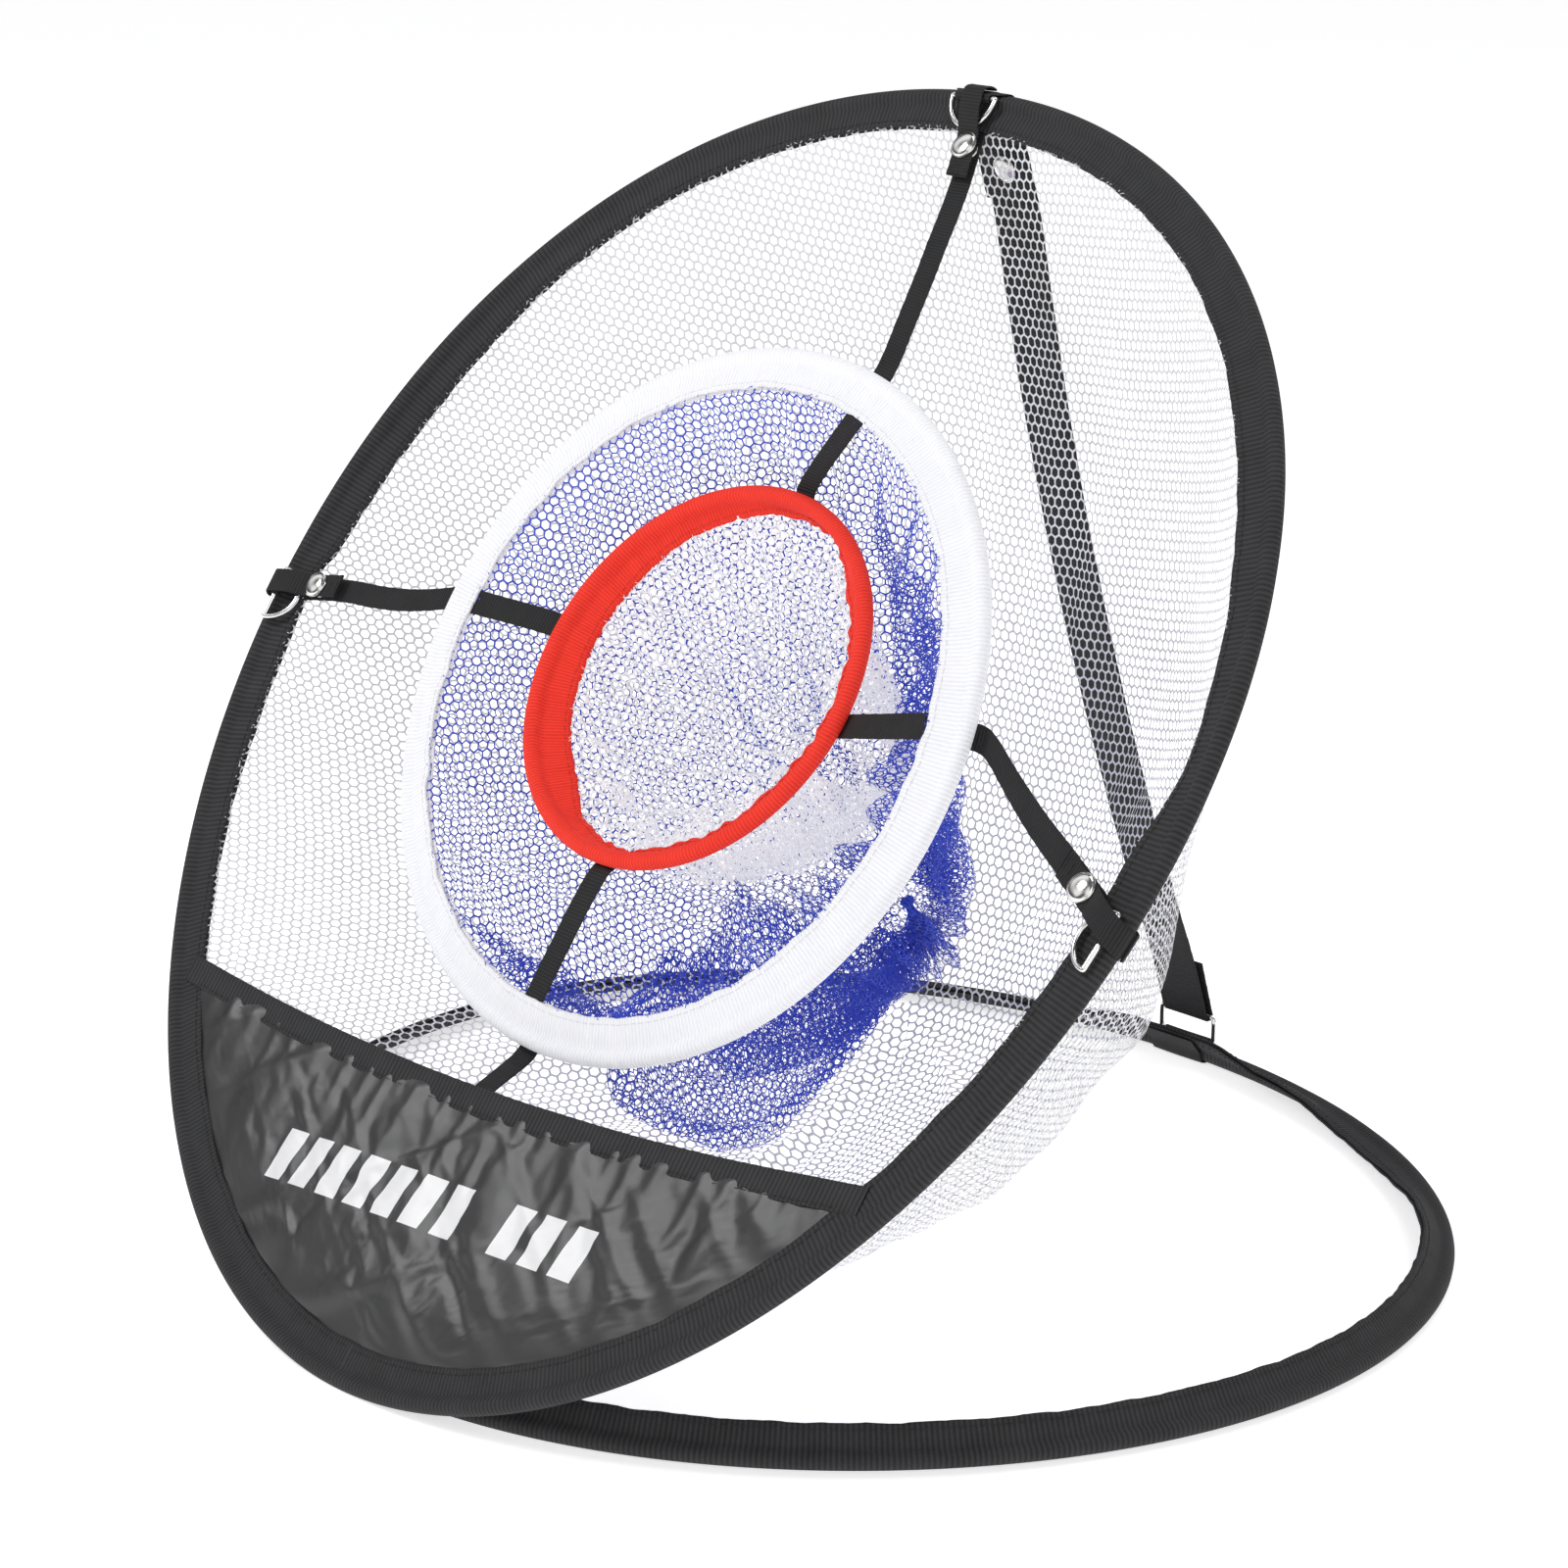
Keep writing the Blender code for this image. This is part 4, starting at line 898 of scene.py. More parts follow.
def stubs(name, hoop, width, count, material, body, seed, long=(0.8, 2.4), clear=0.0):
    """Cut ends of the net that show along the tape's inner edge."""
    rng = np.random.default_rng(seed)
    t = np.sort(rng.uniform(clear, 2 * math.pi - clear, count))
    origin, s_axis, h_axis = hoop.stations(t)
    q_axis = np.cross(h_axis, s_axis)
    parts = []
    for k in range(count):
        side = 1 if rng.random() < 0.7 else -1
        p = origin[k] + s_axis[k] * (hoop.across(t[k], width) - 0.9 * MM) + h_axis[k] * (side * 1.0 * MM)
        way = unit(s_axis[k] + q_axis[k] * rng.normal(0, 0.7) + h_axis[k] * side * rng.uniform(0, 0.6))
        bend = q_axis[k] * rng.normal(0, 0.4) * MM
        size = rng.uniform(*long) * MM
        path = np.array([p + way * size * a + bend * a * a for a in np.linspace(0, 1, 4)])
        parts.append(tube_mesh(path, 0.16 * MM * np.array((1, 1, 0.9, 0.5)), sides=4))
    points, faces = joined(parts)
    return piece(name, points, faces, material, body)


# ---------------------------------------------------------------- hoops and their tapes

FACE_TAPE, BASE_TAPE, MIDDLE_TAPE, INNER_TAPE = 17.2 * MM, 16.5 * MM, 18.5 * MM, 16.5 * MM
binding("face_tape", face, FACE_TAPE, BLACK_TAPE, BLACK_THREAD, "face", ("face_binding",), seed=3)
base_tape = binding(
    "base_tape", base, BASE_TAPE, BLACK_TAPE, BLACK_THREAD, "base", ("base_binding",), seed=13
)
binding(
    "middle_tape", middle, MIDDLE_TAPE, WHITE_TAPE, WHITE_THREAD, "middle_ring",
    ("middle_binding",), step=1.6 * MM, wrinkle=0.7, seed=23,
)
binding(
    "inner_tape", inner, INNER_TAPE, RED_TAPE, RED_THREAD, "inner_ring",
    ("inner_binding",), step=1.2 * MM, wrinkle=0.8, seed=33,
)
for flat_piece in (base_tape, bpy.data.objects["base_tape_stitches"]):
    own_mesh(flat_piece)
for name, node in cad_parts.items():
    if name.endswith(("_wire", "_ferrule")):
        for held in node.material_slots:
            held.material = STEEL

# ---------------------------------------------------------------- what fills the hoops

face_w = face_plane.w


def ridged(x, seed):
    """Folds: rounded valleys with narrow ridges, 0 to 1."""
    return (1 - np.abs(np.sin(x + wave(x * 0.37, seed)))) ** 1.6


def add_nets():
    outer = Bag(face, FACE_TAPE, 0.19, (0.0, 0.24), 1.05, 0.72, 1.65)
    angle = outer.angles[:, None]
    share = outer.share[None]
    low = np.clip(-np.sin(angle), 0, 1)
    soft = np.sin(np.pi * np.clip(share, 0, 1)) ** 0.8
    push = soft * (round_noise(angle, 5, 41) * 3.5 + round_noise(angle, 17, 42) * 1.4 + wave(share * 9, 45)) * MM
    push += soft * (0.4 + low) * (1 - np.abs(np.sin(angle * 7 + share * 1.5))) ** 1.6 * 4 * MM
    push += np.exp(-((1 - share) / 0.06) ** 2) * round_noise(angle, 46, 44) * 0.9 * MM
    lower_right = np.exp(-(((np.degrees(angle) + 32) / 34) ** 2))
    push -= lower_right * np.sin(np.pi * np.clip(share, 0, 1) ** 2.2) * 26 * MM
    outer.push(push * np.clip((1 - share) / 0.04, 0, 1))
    # It stays behind the panel and clear of the ground
    depth = (outer.grid - face_plane.o) @ face_w
    behind = -0.9 * MM - np.clip((1 - share) * outer.length[:, None] / (10 * MM), 0, 1) * 8 * MM
    behind = np.where(np.sin(angle) < -0.25, behind, behind + 0.9 * MM)
    outer.grid = outer.grid + np.minimum(behind - depth, 0)[..., None] * face_w
    outer.grid[..., 2] = np.maximum(outer.grid[..., 2], 1.5 * MM)
    knit("outer_netting", outer, 3.9 * MM, 0.8 * MM, VEIL_NET, "face", ("outer_net",))

    density = by_angle((0, 1.95), (40, 1.25), (90, 1.0), (160, 1.0), (205, 1.1), (240, 1.55), (275, 2.1), (320, 2.3))
    hang = by_angle((0, 10 * MM), (60, 0.0), (120, 0.0), (200, 10 * MM), (222, 38 * MM), (238, 24 * MM), (257, 60 * MM),
                    (282, 18 * MM), (320, 0.0))
    bunch = by_angle((0, 30 * MM), (25, 24 * MM), (55, 13 * MM), (85, 3 * MM), (110, 0.0), (215, 0.0), (245, 10 * MM),
                     (275, 22 * MM), (325, 36 * MM))
    bag = Sleeve(middle, MIDDLE_TAPE, 0.15, (0.012, -0.034), (0.95, 0.72, 0.85), 0.225, density, 0.4,
                 (2.5 * MM, 2.5 * MM), 30, hang, bunch, 51)
    knit("middle_netting", bag, 3.8 * MM, 0.6 * MM, BLUE_NET, "middle_ring", ("middle_net",))
    density = by_angle((0, 1.7), (50, 1.15), (120, 1.0), (190, 1.1), (240, 1.5), (300, 1.8))
    hang = by_angle((0, 0.0), (200, 1 * MM), (240, 3 * MM), (290, 2 * MM))
    bunch = by_angle((0, 12 * MM), (60, 5 * MM), (120, 0.0), (200, 0.0), (240, 8 * MM), (290, 14 * MM))
    pouch = Sleeve(inner, INNER_TAPE, 0.086, (0.012, 0.01), (0.8, 0.6, 0.65), 0.122, density, 0.55,
                   (22 * MM, 8 * MM), 18, hang, bunch, 61)
    knit("inner_netting", pouch, 3.4 * MM, 0.8 * MM, WHITE_NET, "inner_ring", ("inner_net",))
    stubs("face_fray", face, FACE_TAPE, 420, WHITE_THREAD, "face", 71, (0.6, 2.0), clear=1.1)
    stubs("middle_fray", middle, MIDDLE_TAPE, 150, BLUE_NET, "middle_ring", 72)
    stubs("inner_fray", inner, INNER_TAPE, 90, WHITE_THREAD, "inner_ring", 73, (0.8, 3.0))
    return bag.tip


def add_knot(tip):
    """The gathered end of the blue net: a tied neck with a tuft of cut threads behind it."""
    rng = np.random.default_rng(81)
    back = -middle_plane.w
    way = unit(back * 0.6 + np.array((0, 0.1, -0.8)))
    side = unit(np.cross(way, (1, 0, 0.2)))
    other = np.cross(way, side)
    start = tip - way * 3 * MM
    parts = []
    for k in range(190):
        turn, spread = rng.uniform(0, 6.283), rng.uniform(0.2, 1.0)
        ray = side * math.cos(turn) + other * math.sin(turn)
        long = rng.uniform(15, 29) * MM
        rows = []
        for a in np.linspace(0, 1, 9):
            neck = (0.8 + 2.4 * (1 - a * 4) ** 2) if a < 0.25 else 0.8 + 9.5 * (a - 0.25) ** 1.2
            curl = rng.normal(0, 0.25, 3) * MM * a
            rows.append(start + way * long * a + ray * neck * spread * MM + curl)
        parts.append(tube_mesh(chaikin(rows, 1), 0.26 * MM, sides=4))
    for k in range(6):
        turns = np.linspace(0, 2 * math.pi, 22, endpoint=False)
        ring = side * np.cos(turns)[:, None] + other * np.sin(turns)[:, None]
        middle_at = start + way * (4.4 + 0.45 * k) * MM
        parts.append(tube_mesh(middle_at + ring * (1.5 + 0.1 * (k % 2)) * MM, 0.3 * MM, 6, closed=True, normal=way))
    points, faces = joined(parts)
    made = piece("net_tuft", points, faces, BLUE_NET, "middle_ring", ("net_knot",))
    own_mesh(made)


# ---------------------------------------------------------------- front panel


def hem_line(u):
    return HEM_V + HEM_SLOPE * u - HEM_SAG * np.clip(1 - (u / HEM_HALF_LENGTH) ** 2, 0, 1)


def add_panel():
    t = np.linspace(0, math.pi * 0.75, 2000)
    origin, s_axis, _ = face.stations(t)
    u_edge, v_edge, _ = face_plane.local(origin + s_axis * 8 * MM)
    bottom = v_edge[0]
    columns, rows = 171, 66
    row = np.linspace(0.004, 1, rows)[:, None]
    column = np.linspace(-1, 1, columns)[None]
    sides = []
    for sign in (-1, 1):
        v = np.full(rows, bottom)
        for _ in range(40):
            u = sign * np.interp(v, v_edge, u_edge)
            v = bottom + (hem_line(u) + 1.5 * MM - bottom) * row[:, 0]
        sides.append(u)
    u = (sides[0] + sides[1])[:, None] / 2 + (sides[1] - sides[0])[:, None] / 2 * column
    v = bottom + (hem_line(u) + 1.5 * MM - bottom) * row
    below = hem_line(u) - v
    inside = np.sqrt(np.clip(1 - column**2, 0, 1)) * np.clip(row * 1.6, 0, 1) * np.clip((1 - row) * 8, 0, 1)
    # Start shape: puckers below the hem, creases that run in from the edge, a slight belly
    w = 0.6 * MM + 5.5 * MM * inside * np.sin(np.pi * np.clip(row, 0, 1) ** 0.8)
    gathers = 1.3 * MM * np.exp(-np.clip(below, 0, 1) / (10 * MM)) * (ridged(u * 215, 5) - 0.35)
    w += gathers * np.clip((1 - row) * 30, 0, 1)
    w += 2.4 * MM * inside * (ridged(u * 30 + v * 44, 6) - 0.4) + 2.0 * MM * inside * (ridged(u * 40 - v * 62, 7) - 0.4)
    w += 0.8 * MM * inside * (ridged(u * 80 + v * 105, 8) - 0.4)
    points = face_plane.at(u, v, w).reshape(-1, 3)
    faces = grid_faces(rows, columns)
    pinned = np.zeros((rows, columns), bool)
    pinned[:, :2] = pinned[:, -2:] = pinned[:2] = pinned[-2:] = True
    moved = points
    moved = settle(points, faces, pinned.reshape(-1), 26, 25, 0.03, grow=0.018, gravity=0.0)
    # Keep the creases, and let the whole swell gently out of the tape
    depth = ((moved - face_plane.o) @ face_w).reshape(rows, columns)
    slow = depth.copy()
    for _ in range(60):
        slow[1:-1, 1:-1] = (slow[:-2, 1:-1] + slow[2:, 1:-1] + slow[1:-1, :-2] + slow[1:-1, 2:]) / 4
    ring_t = np.linspace(-math.pi * 0.75, math.pi * 0.75, 700)
    ring_u, ring_v, _ = face_plane.local(face.stations(ring_t)[0])
    inwards = np.sqrt(((u[..., None] - ring_u) ** 2 + (v[..., None] - ring_v) ** 2).min(-1))
    free = np.clip((inwards - 16.8 * MM) / (17 * MM), 0, 1) ** 0.6 * np.clip((1 - row) / 0.04, 0, 1) ** 0.6
    crease = 2.6 * MM * np.tanh((depth - slow) / (2.6 * MM))
    depth = 0.6 * MM + free * (3.2 * MM * np.sin(np.pi * row**0.8) * (1 - column**2) + 1.2 * MM + crease)
    level = points - ((points - face_plane.o) @ face_w)[:, None] * face_w
    points = level + np.maximum(depth, 0.5 * MM).reshape(-1, 1) * face_w
    uv = np.stack((u, v), -1).reshape(-1, 2)
    made = piece("nylon_panel", points, faces, NYLON, "face", ("front_panel",), uv)
    smooth = made.modifiers.new("smooth", "SUBSURF")
    smooth.levels = smooth.render_levels = 1

    # Hem: webbing folded over the top edge, with a row of stitches
    ends = np.linspace(sides[0][-1] + 6 * MM, sides[1][-1] - 6 * MM, 90)
    lift = wave(ends * 60, 91) * 0.5 * MM
    line = face_plane.at(ends, hem_line(ends), 0.9 * MM + lift)
    half = face_plane.v * HEM_WIDTH / 2
    strap("hem_tape", line, half, 1.9 * MM, "face", ("panel_hem",), 92, material=BLACK_TAPE, round_off=0)
    front = face_plane.at(ends, hem_line(ends) - HEM_WIDTH / 2 + 1.3 * MM, 1.95 * MM + lift)
    points, faces = joined(stitches(front[2:-2], np.broadcast_to(face_w, front[2:-2].shape)))
    piece("hem_stitches", points, faces, BLACK_THREAD, "face")


# ---------------------------------------------------------------- hardware


def turned(name, middle_at, axis, profile, body, replaces):
    """A turned nickel piece, from its lowest point to its highest. A profile that starts off the axis is a ring."""
    sides = 40
    axis = unit(axis)
    side = unit(np.cross(axis, (0.31, 0.2, 0.9)))
    other = np.cross(axis, side)
    turns = np.arange(sides) * 2 * math.pi / sides
    rays = side * np.cos(turns)[:, None] + other * np.sin(turns)[:, None]
    profile = np.array([(max(r, 0.02 * MM), h) for r, h in profile])
    points = middle_at + axis * profile[:, 1][:, None, None] + rays[None] * profile[:, 0][:, None, None]
    ring = profile[0, 0] > 0.03 * MM
    faces = [grid_faces(len(profile), sides, wrap_rows=ring, wrap_columns=True)]
    if not ring:
        faces.append(end_caps(len(profile), sides))
    made = piece(name, points.reshape(-1, 3), faces, NICKEL, body, replaces)
    made.data.set_sharp_from_angle(angle=math.radians(50))
    return made


def dome(base_h):
    """A snap's cap: rolled rim and a domed top."""
    radius, height, rim = CAP_RADIUS, CAP_HEIGHT, 0.42 * MM
    profile = [(0, base_h), (radius - rim, base_h)]
    profile += [(radius - rim + rim * math.sin(a), base_h + rim * (1 - math.cos(a))) for a in np.linspace(0.3, 2.0, 6)]
    shoulder = radius * 0.9
    top = base_h + height
    low = base_h + rim * 1.5
    profile += [
        (shoulder * math.cos(a), low + (top - low) * math.sin(a)) for a in np.linspace(0.12, math.pi / 2, 12)
    ]
    return profile


def dring_mesh(bar, q_axis, inward):
    turns = np.linspace(0, math.pi, 49)
    bow = bar + q_axis * (RING_HALF_WIDTH * np.cos(turns))[:, None] + inward * (RING_REACH * np.sin(turns))[:, None]
    flat = bar + q_axis * (RING_HALF_WIDTH * np.linspace(-0.86, 0.86, 7))[:, None]
    path = closed_chaikin(np.concatenate((bow, flat)), 2, 0.25)
    return tube_mesh(path, RING_WIRE, 16, closed=True, normal=np.cross(inward, q_axis))


def box_stitch(name, path, half, out, thick, body):
    """A row of stitches across a strap and back along both edges. path runs along the strap."""
    out = unit(out)
    path = np.asarray(path, float)
    inset = half * (1 - 1.3 * MM / np.linalg.norm(half))
    lift = out * (thick / 2 + 0.02 * MM)
    rows = [path + inset + lift, path - inset + lift]
    for end in (path[0], path[-1]):
        rows.append(np.array((end - inset, end + inset)) + lift)
    parts = []
    for line in rows:
        parts += stitches(line, np.broadcast_to(out, line.shape), length=2.0 * MM, gap=0.7 * MM, radius=0.15 * MM)
    points, faces = joined(parts)
    return piece(name, points, faces, BLACK_THREAD, body)


CAP_SEAT = STRAP_THICK / 2 + 0.05 * MM  # how far a snap's halves stand off the middle of their strap
SOCKET = [
    (2.2 * MM, -CAP_SEAT - 1.6 * MM), (3.6 * MM, -CAP_SEAT - 1.7 * MM), (4.2 * MM, -CAP_SEAT - 1.2 * MM),
    (4.3 * MM, -CAP_SEAT - 0.1 * MM), (2.2 * MM, -CAP_SEAT),
]
STUD = [
    (0, -CAP_SEAT - 0.5 * MM), (3.4 * MM, -CAP_SEAT - 0.5 * MM), (3.6 * MM, -CAP_SEAT), (1.2 * MM, -CAP_SEAT),
    (1.2 * MM, CAP_SEAT), (4.0 * MM, CAP_SEAT), (3.8 * MM, CAP_SEAT + 0.6 * MM), (1.7 * MM, CAP_SEAT + 0.7 * MM),
    (1.75 * MM, CAP_SEAT + 1.5 * MM), (1.3 * MM, CAP_SEAT + 1.8 * MM), (0, CAP_SEAT + 1.8 * MM),
]


def ring_end(spot):
    """The end of a strap that is sewn to the back of a target ring."""
    under = TUBE + GAP + STRAP_THICK / 2 + 0.3 * MM
    return [spot.at(-4 * MM, 0, -under), spot.at(4 * MM, 0, -under), spot.at(9 * MM, 0, -under + 1.0 * MM)]


def leg_angle(away):
    """Where on the tube, in degrees, a tab leaves it for its leg."""
    return math.degrees(math.atan2(-away[0], away[1])) % 360


def add_hardware():
    rear_spot = base.spot(1)
    top_spot = face.spot(2)
    upper = rear_spot.at(BAR_S, 0, BAR_H) + np.array((0, 0, 12 * MM))
    down = unit(upper - top_spot.at(TUBE))
    for which, where in ((1, "right"), (2, "top"), (3, "left")):
        spot, ring_spot = face.spot(which), middle.spot(which)
        offset = ring_spot.o - spot.o
        slant = (offset @ spot.q) / (offset @ spot.s)
        stretch = math.sqrt(1 + slant**2)
        half = spot.q * (STRAP_WIDTH / 2 * stretch)

        def laid(route):
            return np.array([spot.at(s, s * slant, h) for s, h in route])

        # D-ring over the tape
        shift = {"right": 4 * MM, "top": 0.0, "left": -4 * MM}[where]
        drop = BAR_H - (TAPE_HALF + GAP + RING_WIRE)
        inward = unit(spot.s * RING_REACH - spot.h * drop)
        bar = spot.at(BAR_S, shift, BAR_H)
        points, faces = dring_mesh(bar, spot.q, inward)
        piece(f"d_ring_{where}", points, faces, NICKEL, f"ring_{where}", (f"dring_{where}",))
        # Tab round its bar
        if where != "top":
            route = [(14 * MM, -2.35 * MM), (8.5 * MM, -2.35 * MM), *arc((TUBE, 0), TAB_RADIUS, 285, 135, 8)]
            path = np.array([spot.at(s, 0, h) for s, h in route + bar_hook()])
            strap(f"bar_tab_{where}", path, spot.q * 5 * MM, TAB_THICK, "face", (f"tab_{where}",), 100 + which, FINE)
        # Keeper: sewn behind, over the rim, snapped down in front
        radius = TUBE + 2 * GAP + TAB_THICK + STRAP_THICK / 2 + 0.45 * MM
        if where == "top":
            away = (down @ spot.s, down @ spot.h)
            back = arc((TUBE, 0), radius, leg_angle(away), 190, 5)
            back.insert(0, (back[0][0] + away[0] * 7.5 * MM, back[0][1] + away[1] * 7.5 * MM))
        else:
            behind = TAPE_HALF + 2 * GAP + TAB_THICK + STRAP_THICK / 2
            back = [(13 * MM, -behind), (9 * MM, -behind), *arc((TUBE, 0), radius, 280, 190, 6)]
        strap(f"keeper_back_{where}", laid(back), half, STRAP_THICK, "face", (f"anchor_{where}",), 110 + which, FINE)
        over = BAR_H + RING_WIRE + 2 * GAP + TAB_THICK + STRAP_THICK / 2 + 0.2 * MM
        front = [
            (TUBE - radius, 0.7 * MM), (TUBE - radius + 0.1 * MM, 3.0 * MM), (-0.3 * MM, 5.8 * MM), (2.0 * MM, over),
            (6.6 * MM, over), (12 * MM, 7.6 * MM), (17.4 * MM, 5.4 * MM), (18.9 * MM, SNAP_STACK),
            (30 * MM, SNAP_STACK), (38.0 * MM, SNAP_STACK),
        ]
        keeper = f"keeper_{where}"
        strap(f"keeper_flap_{where}", laid(front), half, STRAP_THICK, keeper, (f"flap_{where}",), 120 + which, FINE)
        end_line = laid([(33.5 * MM, SNAP_STACK), (36.8 * MM, SNAP_STACK)])
        box_stitch(f"keeper_stitch_{where}", end_line, half, spot.h, STRAP_THICK, keeper)
        # Snap
        at = spot.at(SNAP_S, SNAP_S * slant, SNAP_STACK)
        turned(f"snap_cap_{where}", at, spot.h, dome(CAP_SEAT), keeper, (f"cap_{where}",))
        turned(f"snap_socket_{where}", at, spot.h, SOCKET, keeper, (f"socket_{where}",))
        # Main strap to the middle ring
        start = [spot.at(s, s * slant, 0) for s in (13 * MM, 18 * MM, 40 * MM)]
        end = ring_end(ring_spot)
        far = end[0]
        sag = np.array((0, 0, -1.0)) * {"right": 2.5, "top": 0.6, "left": 3.0}[where] * MM
        shares = (0.25, 0.5, 0.75)
        between = [start[2] + (far - start[2]) * a + sag * 4 * a * (1 - a) for a in shares]
        path = np.array(start + between + end)
        halves = np.array([half] * 3 + [half * (1 - a) + ring_spot.q * STRAP_WIDTH / 2 * a for a in shares]
                          + [ring_spot.q * STRAP_WIDTH / 2] * 3)
        made = strap(f"webbing_{where}", path, halves, STRAP_THICK, None, (f"strap_{where}",), 130 + which)
        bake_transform(made)
        turned(f"snap_stud_{where}", spot.at(SNAP_S, SNAP_S * slant, 0), spot.h, STUD, "face", (f"stud_{where}",))

    # Bottom strap, sewn behind the hem
    ring_spot = middle.spot(0)
    start = [face_plane.at(-4 * MM, hem_line(0) + dv, -1.95 * MM) for dv in (-5 * MM, 0, 3 * MM)]
    end = ring_end(ring_spot)
    far = end[0]
    path = np.array(start + [(start[2] + far) / 2] + end)
    halves = np.array([face_plane.u * STRAP_WIDTH / 2] * 4 + [ring_spot.q * STRAP_WIDTH / 2] * 3)
    made = strap("webbing_bottom", path, halves, STRAP_THICK, None, ("strap_bottom",), 140)
    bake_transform(made)

    # Straps between the two rings
    for which, where in enumerate(("bottom", "right", "top", "left")):
        outer_spot, inner_spot = middle.spot(which), inner.spot(which)
        end = ring_end(inner_spot)
        far = end[0]
        aside = 8 * MM if where == "top" else 0.0
        root = outer_spot.at(17.5 * MM, aside, 0)
        start = [root + (far - root) * share for share in (0, 0.06, 0.2)]
        path = np.array(start + end)
        halves = np.array([outer_spot.q * STRAP_WIDTH / 2] * 3 + [inner_spot.q * STRAP_WIDTH / 2] * 3)
        made = strap(f"inner_webbing_{where}", path, halves, STRAP_THICK, None, (f"inner_strap_{where}",), 150 + which)
        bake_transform(made)
    return top_spot, rear_spot, upper, down


def add_rear(top_spot, rear_spot, upper, down):
    x_axis = np.array((1.0, 0, 0))
    bar = rear_spot.at(BAR_S, 0, BAR_H)
    reach, wide = 12 * MM, 14.8 * MM
    right = [(1, 0), (1, 0.45), (1, 0.86), (0.9, 1), (0.5, 1)]
    outline = right + [(0, 1)] + [(-a, b) for a, b in right[::-1]] + [(-0.5, 0), (0, 0), (0.5, 0)]
    path = np.array([bar + x_axis * wide * a + np.array((0, 0, reach * b)) for a, b in outline])
    path = closed_chaikin(path, 3, 0.2)
    points, faces = tube_mesh(path, RING_WIRE, 16, closed=True, normal=(0, 1, 0))
    piece("rear_d_ring", points, faces, NICKEL, "rear_ring", ("rear_dring",))

    # Tab round the base hoop
    tube = rear_spot.at(TUBE)
    wrap = TUBE + GAP + TAB_THICK / 2 + 0.45 * MM
    turns = np.radians((180, 210, 240, 300, 330, 360, 405))
    under = [tube + np.array((0, math.cos(a), math.sin(a))) * wrap for a in turns]
    behind = TAPE_HALF + GAP + TAB_THICK / 2
    start = [rear_spot.at(s, 0, -behind) for s in (17 * MM, 9 * MM)]
    hook = [rear_spot.at(s, 0, h) for s, h in bar_hook()]
    path = np.array(start + under + hook)
    widths = [14 * MM] * (len(start) + len(under)) + [12.5 * MM] * len(hook)
    strap("rear_wrap", path, [x_axis * w for w in widths], TAB_THICK, "base", ("rear_tab",), 161, FINE)

    # Rear strap
    loop_radius = SNAP_STACK / 2
    out = np.array((0, -down[2], down[1]))
    front_leg = [upper - out * loop_radius - down * t for t in (30 * MM, 12 * MM, 0.0)]
    turn_in = upper - out * (loop_radius * 0.75) + down * (loop_radius * 0.75)
    away = (down @ top_spot.s, down @ top_spot.h)
    route = arc((TUBE, 0), TAB_RADIUS, leg_angle(away), 135, 8)
    leg_start = route[0]
    leg_mid = (leg_start[0] + away[0] * 20 * MM, leg_start[1] + away[1] * 20 * MM)
    leg_end = (leg_start[0] + away[0] * 44 * MM, leg_start[1] + away[1] * 44 * MM)
    hook = bar_hook()
    path = np.array([top_spot.at(s, 0, h) for s, h in [leg_end, leg_mid, *route, *hook]])
    widths = [14 * MM] * (2 + len(route)) + [9 * MM] * len(hook)
    strap("top_wrap", path, [x_axis * w for w in widths], TAB_THICK, "face", ("tab_top",), 162, FINE)
    apart = (TAB_THICK + REAR_THICK) / 2 + GAP
    leg = top_spot.at(leg_start[0], 0, leg_start[1])
    begin = leg + down * (9 * MM) + out * apart
    second = leg + down * (50 * MM) + out * apart
    sag = np.array((0, -0.010, 0))
    run = [second + (front_leg[0] - second) * s + sag * (4 * s * (1 - s)) for s in np.arange(1, 12) / 12]
    path = np.array([begin, (begin + second) / 2, second, *run, *front_leg, turn_in])
    half = x_axis * REAR_WIDTH / 2
    made = strap("rear_webbing", path, half, REAR_THICK, None, ("rear_strap",), 163)
    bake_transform(made)
    snap = leg + down * (30 * MM) + out * (apart / 2)
    pile = (TAB_THICK + REAR_THICK + GAP) / 2 + 0.05 * MM
    profile = [(0, -pile - 0.6 * MM), (3.5 * MM, -pile - 0.5 * MM), (3.6 * MM, -pile), (1.2 * MM, -pile)]
    profile += [(1.2 * MM, pile)] + dome(pile)[1:]
    turned("rear_top_rivet", snap, -out, profile, "face", ("rear_top_snap",))
    box_stitch("rear_top_stitch", np.array((leg + down * 12 * MM, leg + down * 22 * MM)) - out * 0.25 * MM, half, -out,
               TAB_THICK, "face")

    start = [upper + (out * math.sin(a) + down * math.cos(a)) * loop_radius for a in np.radians((-50, -10, 30, 60))]
    path = np.array([*start, upper + out * loop_radius, upper + out * loop_radius - down * 12 * MM,
                     upper + out * (loop_radius + 0.4 * MM) - down * 27 * MM])
    strap("rear_tail_webbing", path, half, STRAP_THICK, "rear_tail_end", ("rear_tail",), 164, FINE)
    tail_at = upper + out * loop_radius - down * (13 * MM)
    strap_at = upper - out * loop_radius - down * (13 * MM)
    turned("rear_snap_cap", tail_at, out, dome(CAP_SEAT), "rear_tail_end", ("rear_cap",))
    turned("rear_snap_socket", tail_at, out, SOCKET, "rear_tail_end", ("rear_socket",))
    low = REAR_THICK / 2 + 0.05 * MM
    stud = [(0, low - 0.3 * MM), (3.6 * MM, low - 0.3 * MM), (4.0 * MM, low), (3.8 * MM, low + 0.6 * MM),
            (1.7 * MM, low + 0.7 * MM), (1.75 * MM, low + 1.4 * MM), (0, low + 1.5 * MM)]
    turned("rear_snap_stud", strap_at, out, stud, "base", ("rear_stud",))

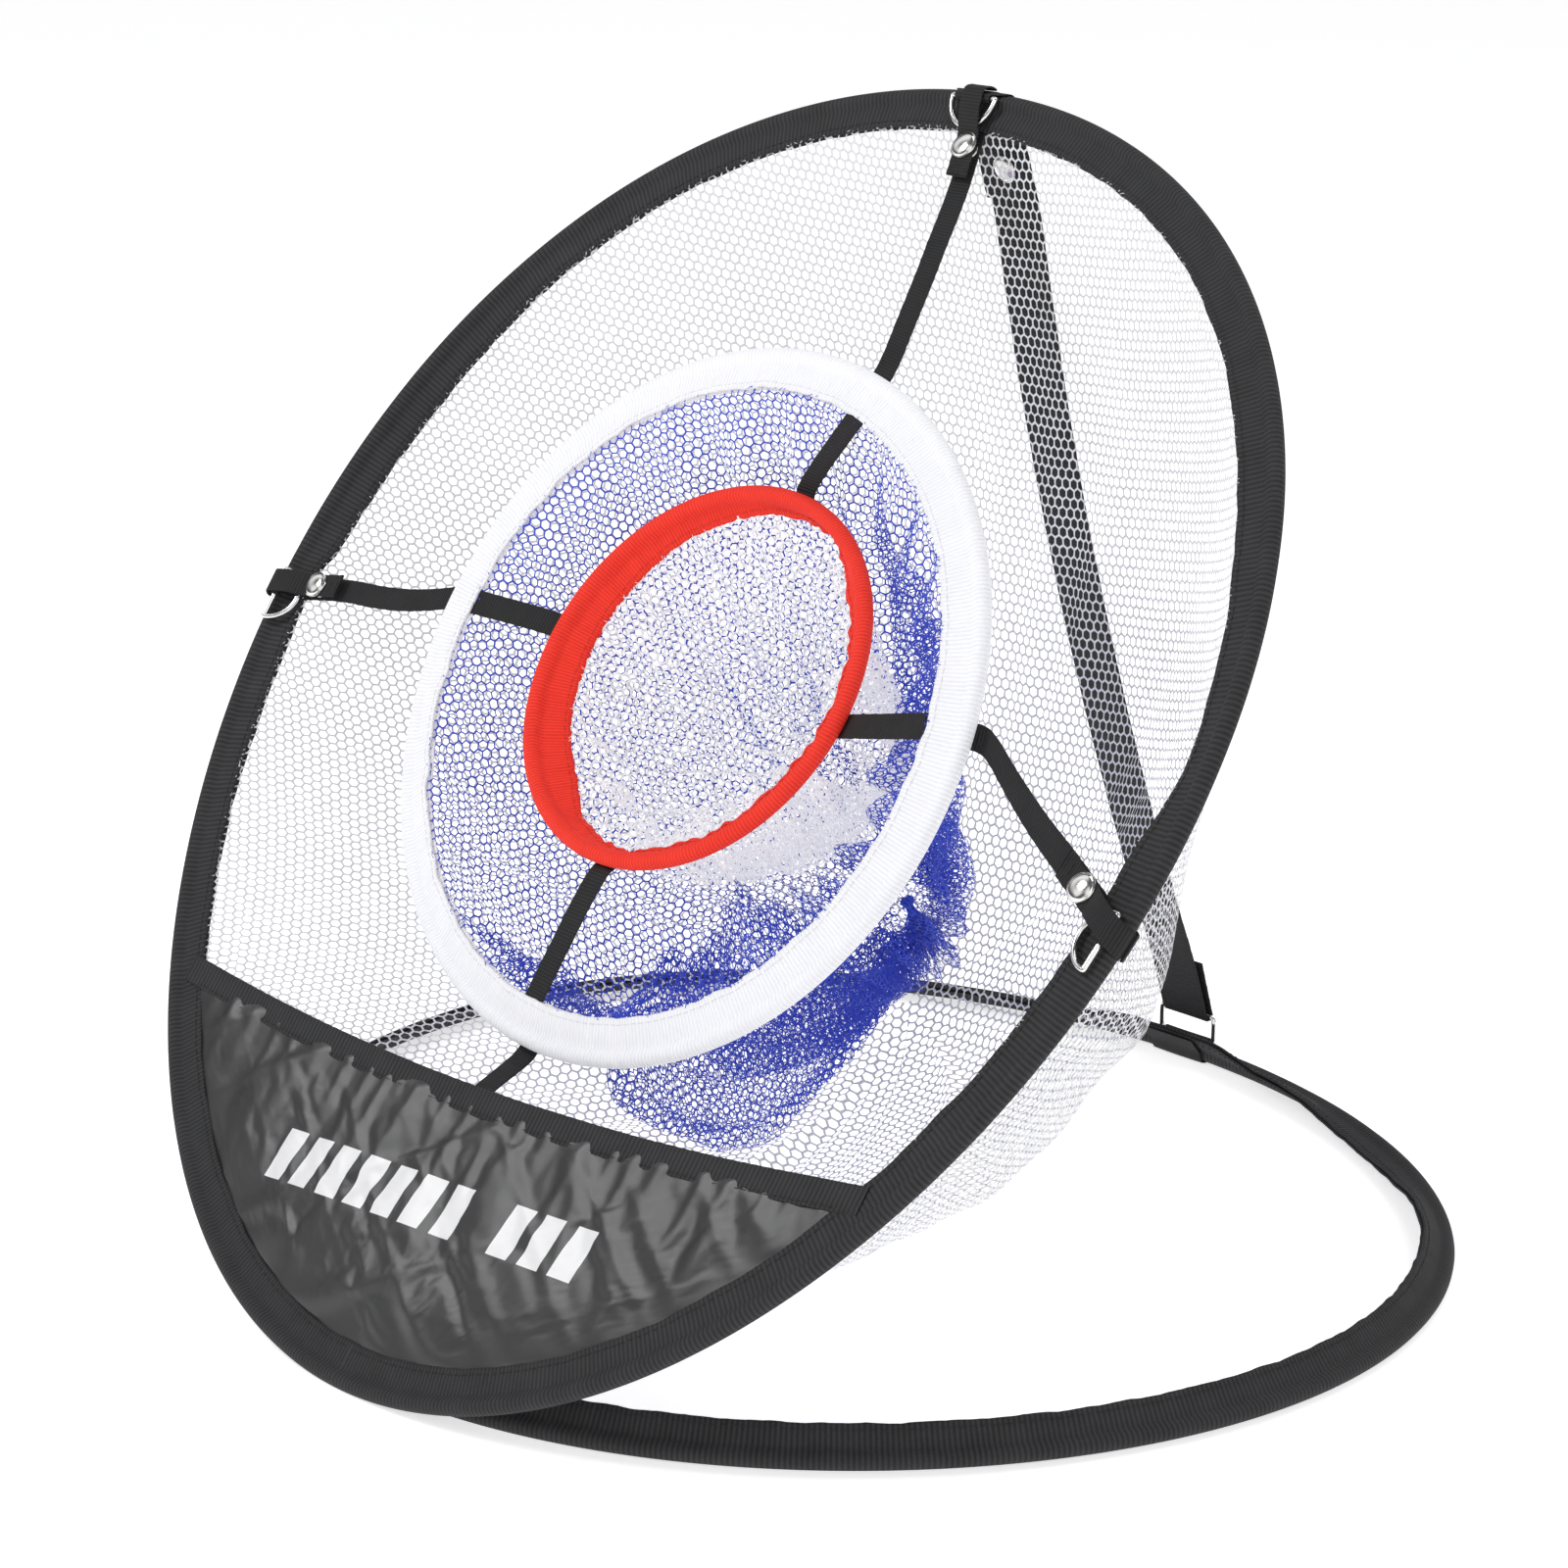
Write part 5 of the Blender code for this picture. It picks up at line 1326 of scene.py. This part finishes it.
    # Tape that joins the two hoops at the front
    front_face, front_base = face.spot(0), base.spot(0)
    lean = unit(front_face.s + front_base.s)
    between = (front_face.at(TUBE) + front_base.at(TUBE)) / 2
    path = np.array([between + lean * s * MM for s in (3.5, 8.0, 12.5)])
    made = strap("hinge_webbing", path, x_axis * 45 * MM, 1.0 * MM, None, ("hinge_tape",), 165, material=BLACK_TAPE)
    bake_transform(made)


tuft_at = add_nets()
add_knot(tuft_at)
add_panel()
add_rear(*add_hardware())

# ---------------------------------------------------------------- floor, lights and camera

pale = Look("pale floor")
haze = pale.node("TexNoise", Scale=3.0, Detail=2.0).outputs[0]
pale.feed(Base_Color=pale.mixed(haze, (0.76, 0.76, 0.765), (0.79, 0.79, 0.79)))
pale.feed(Roughness=0.9, Specular_IOR_Level=0.1, Emission_Color=(1, 1, 1, 1), Emission_Strength=0.64)
size = 30.0
floor_mesh = bpy.data.meshes.new("floor")
floor_mesh.from_pydata([(-size, -size, 0), (size, -size, 0), (size, size, 0), (-size, size, 0)], [], [(0, 1, 2, 3)])
floor_mesh.materials.append(pale.material)
floor = add_object("floor", floor_mesh)

# A studio with bright and dark sides, so that metal and nylon have something to reflect
world = bpy.data.worlds.new("studio")
world.use_nodes = True
tree = world.node_tree
where = tree.nodes.new("ShaderNodeTexCoord")
patches = tree.nodes.new("ShaderNodeTexNoise")
patches.inputs["Scale"].default_value = 1.7
patches.inputs["Detail"].default_value = 0.0
ramp = tree.nodes.new("ShaderNodeValToRGB")
ramp.color_ramp.elements[0].position, ramp.color_ramp.elements[1].position = 0.42, 0.6
ramp.color_ramp.elements[0].color = (0.14, 0.14, 0.15, 1)
ramp.color_ramp.elements[1].color = (1.15, 1.15, 1.15, 1)
tree.links.new(where.outputs["Generated"], patches.inputs["Vector"])
tree.links.new(patches.outputs[0], ramp.inputs[0])
tree.links.new(ramp.outputs[0], tree.nodes["Background"].inputs[0])
tree.nodes["Background"].inputs[1].default_value = 0.85
bpy.context.scene.world = world


def aim(thing, place, target):
    thing.location = place
    thing.rotation_euler = (Vector(target) - thing.location).to_track_quat("-Z", "Y").to_euler()


def add_light(name, place, energy, width):
    data = bpy.data.lights.new(name, "AREA")
    data.energy, data.size = energy, width
    aim(add_object(name, data), place, (0, 0, 0.2))


add_light("key", (-0.9, -1.3, 1.9), 20, 0.7)
add_light("fill", (1.9, -0.6, 1.2), 5, 1.2)
add_light("top", (0.2, 0.9, 2.0), 10, 1.2)

lens = bpy.data.cameras.new("camera")
lens.lens, lens.sensor_width = 90, 36
camera = add_object("camera", lens)
aim(camera, (1.03727, -1.02162, 0.63352), (0.0281, -0.03905, 0.1916))
bpy.context.scene.camera = camera
bpy.context.scene.view_settings.view_transform = "Standard"
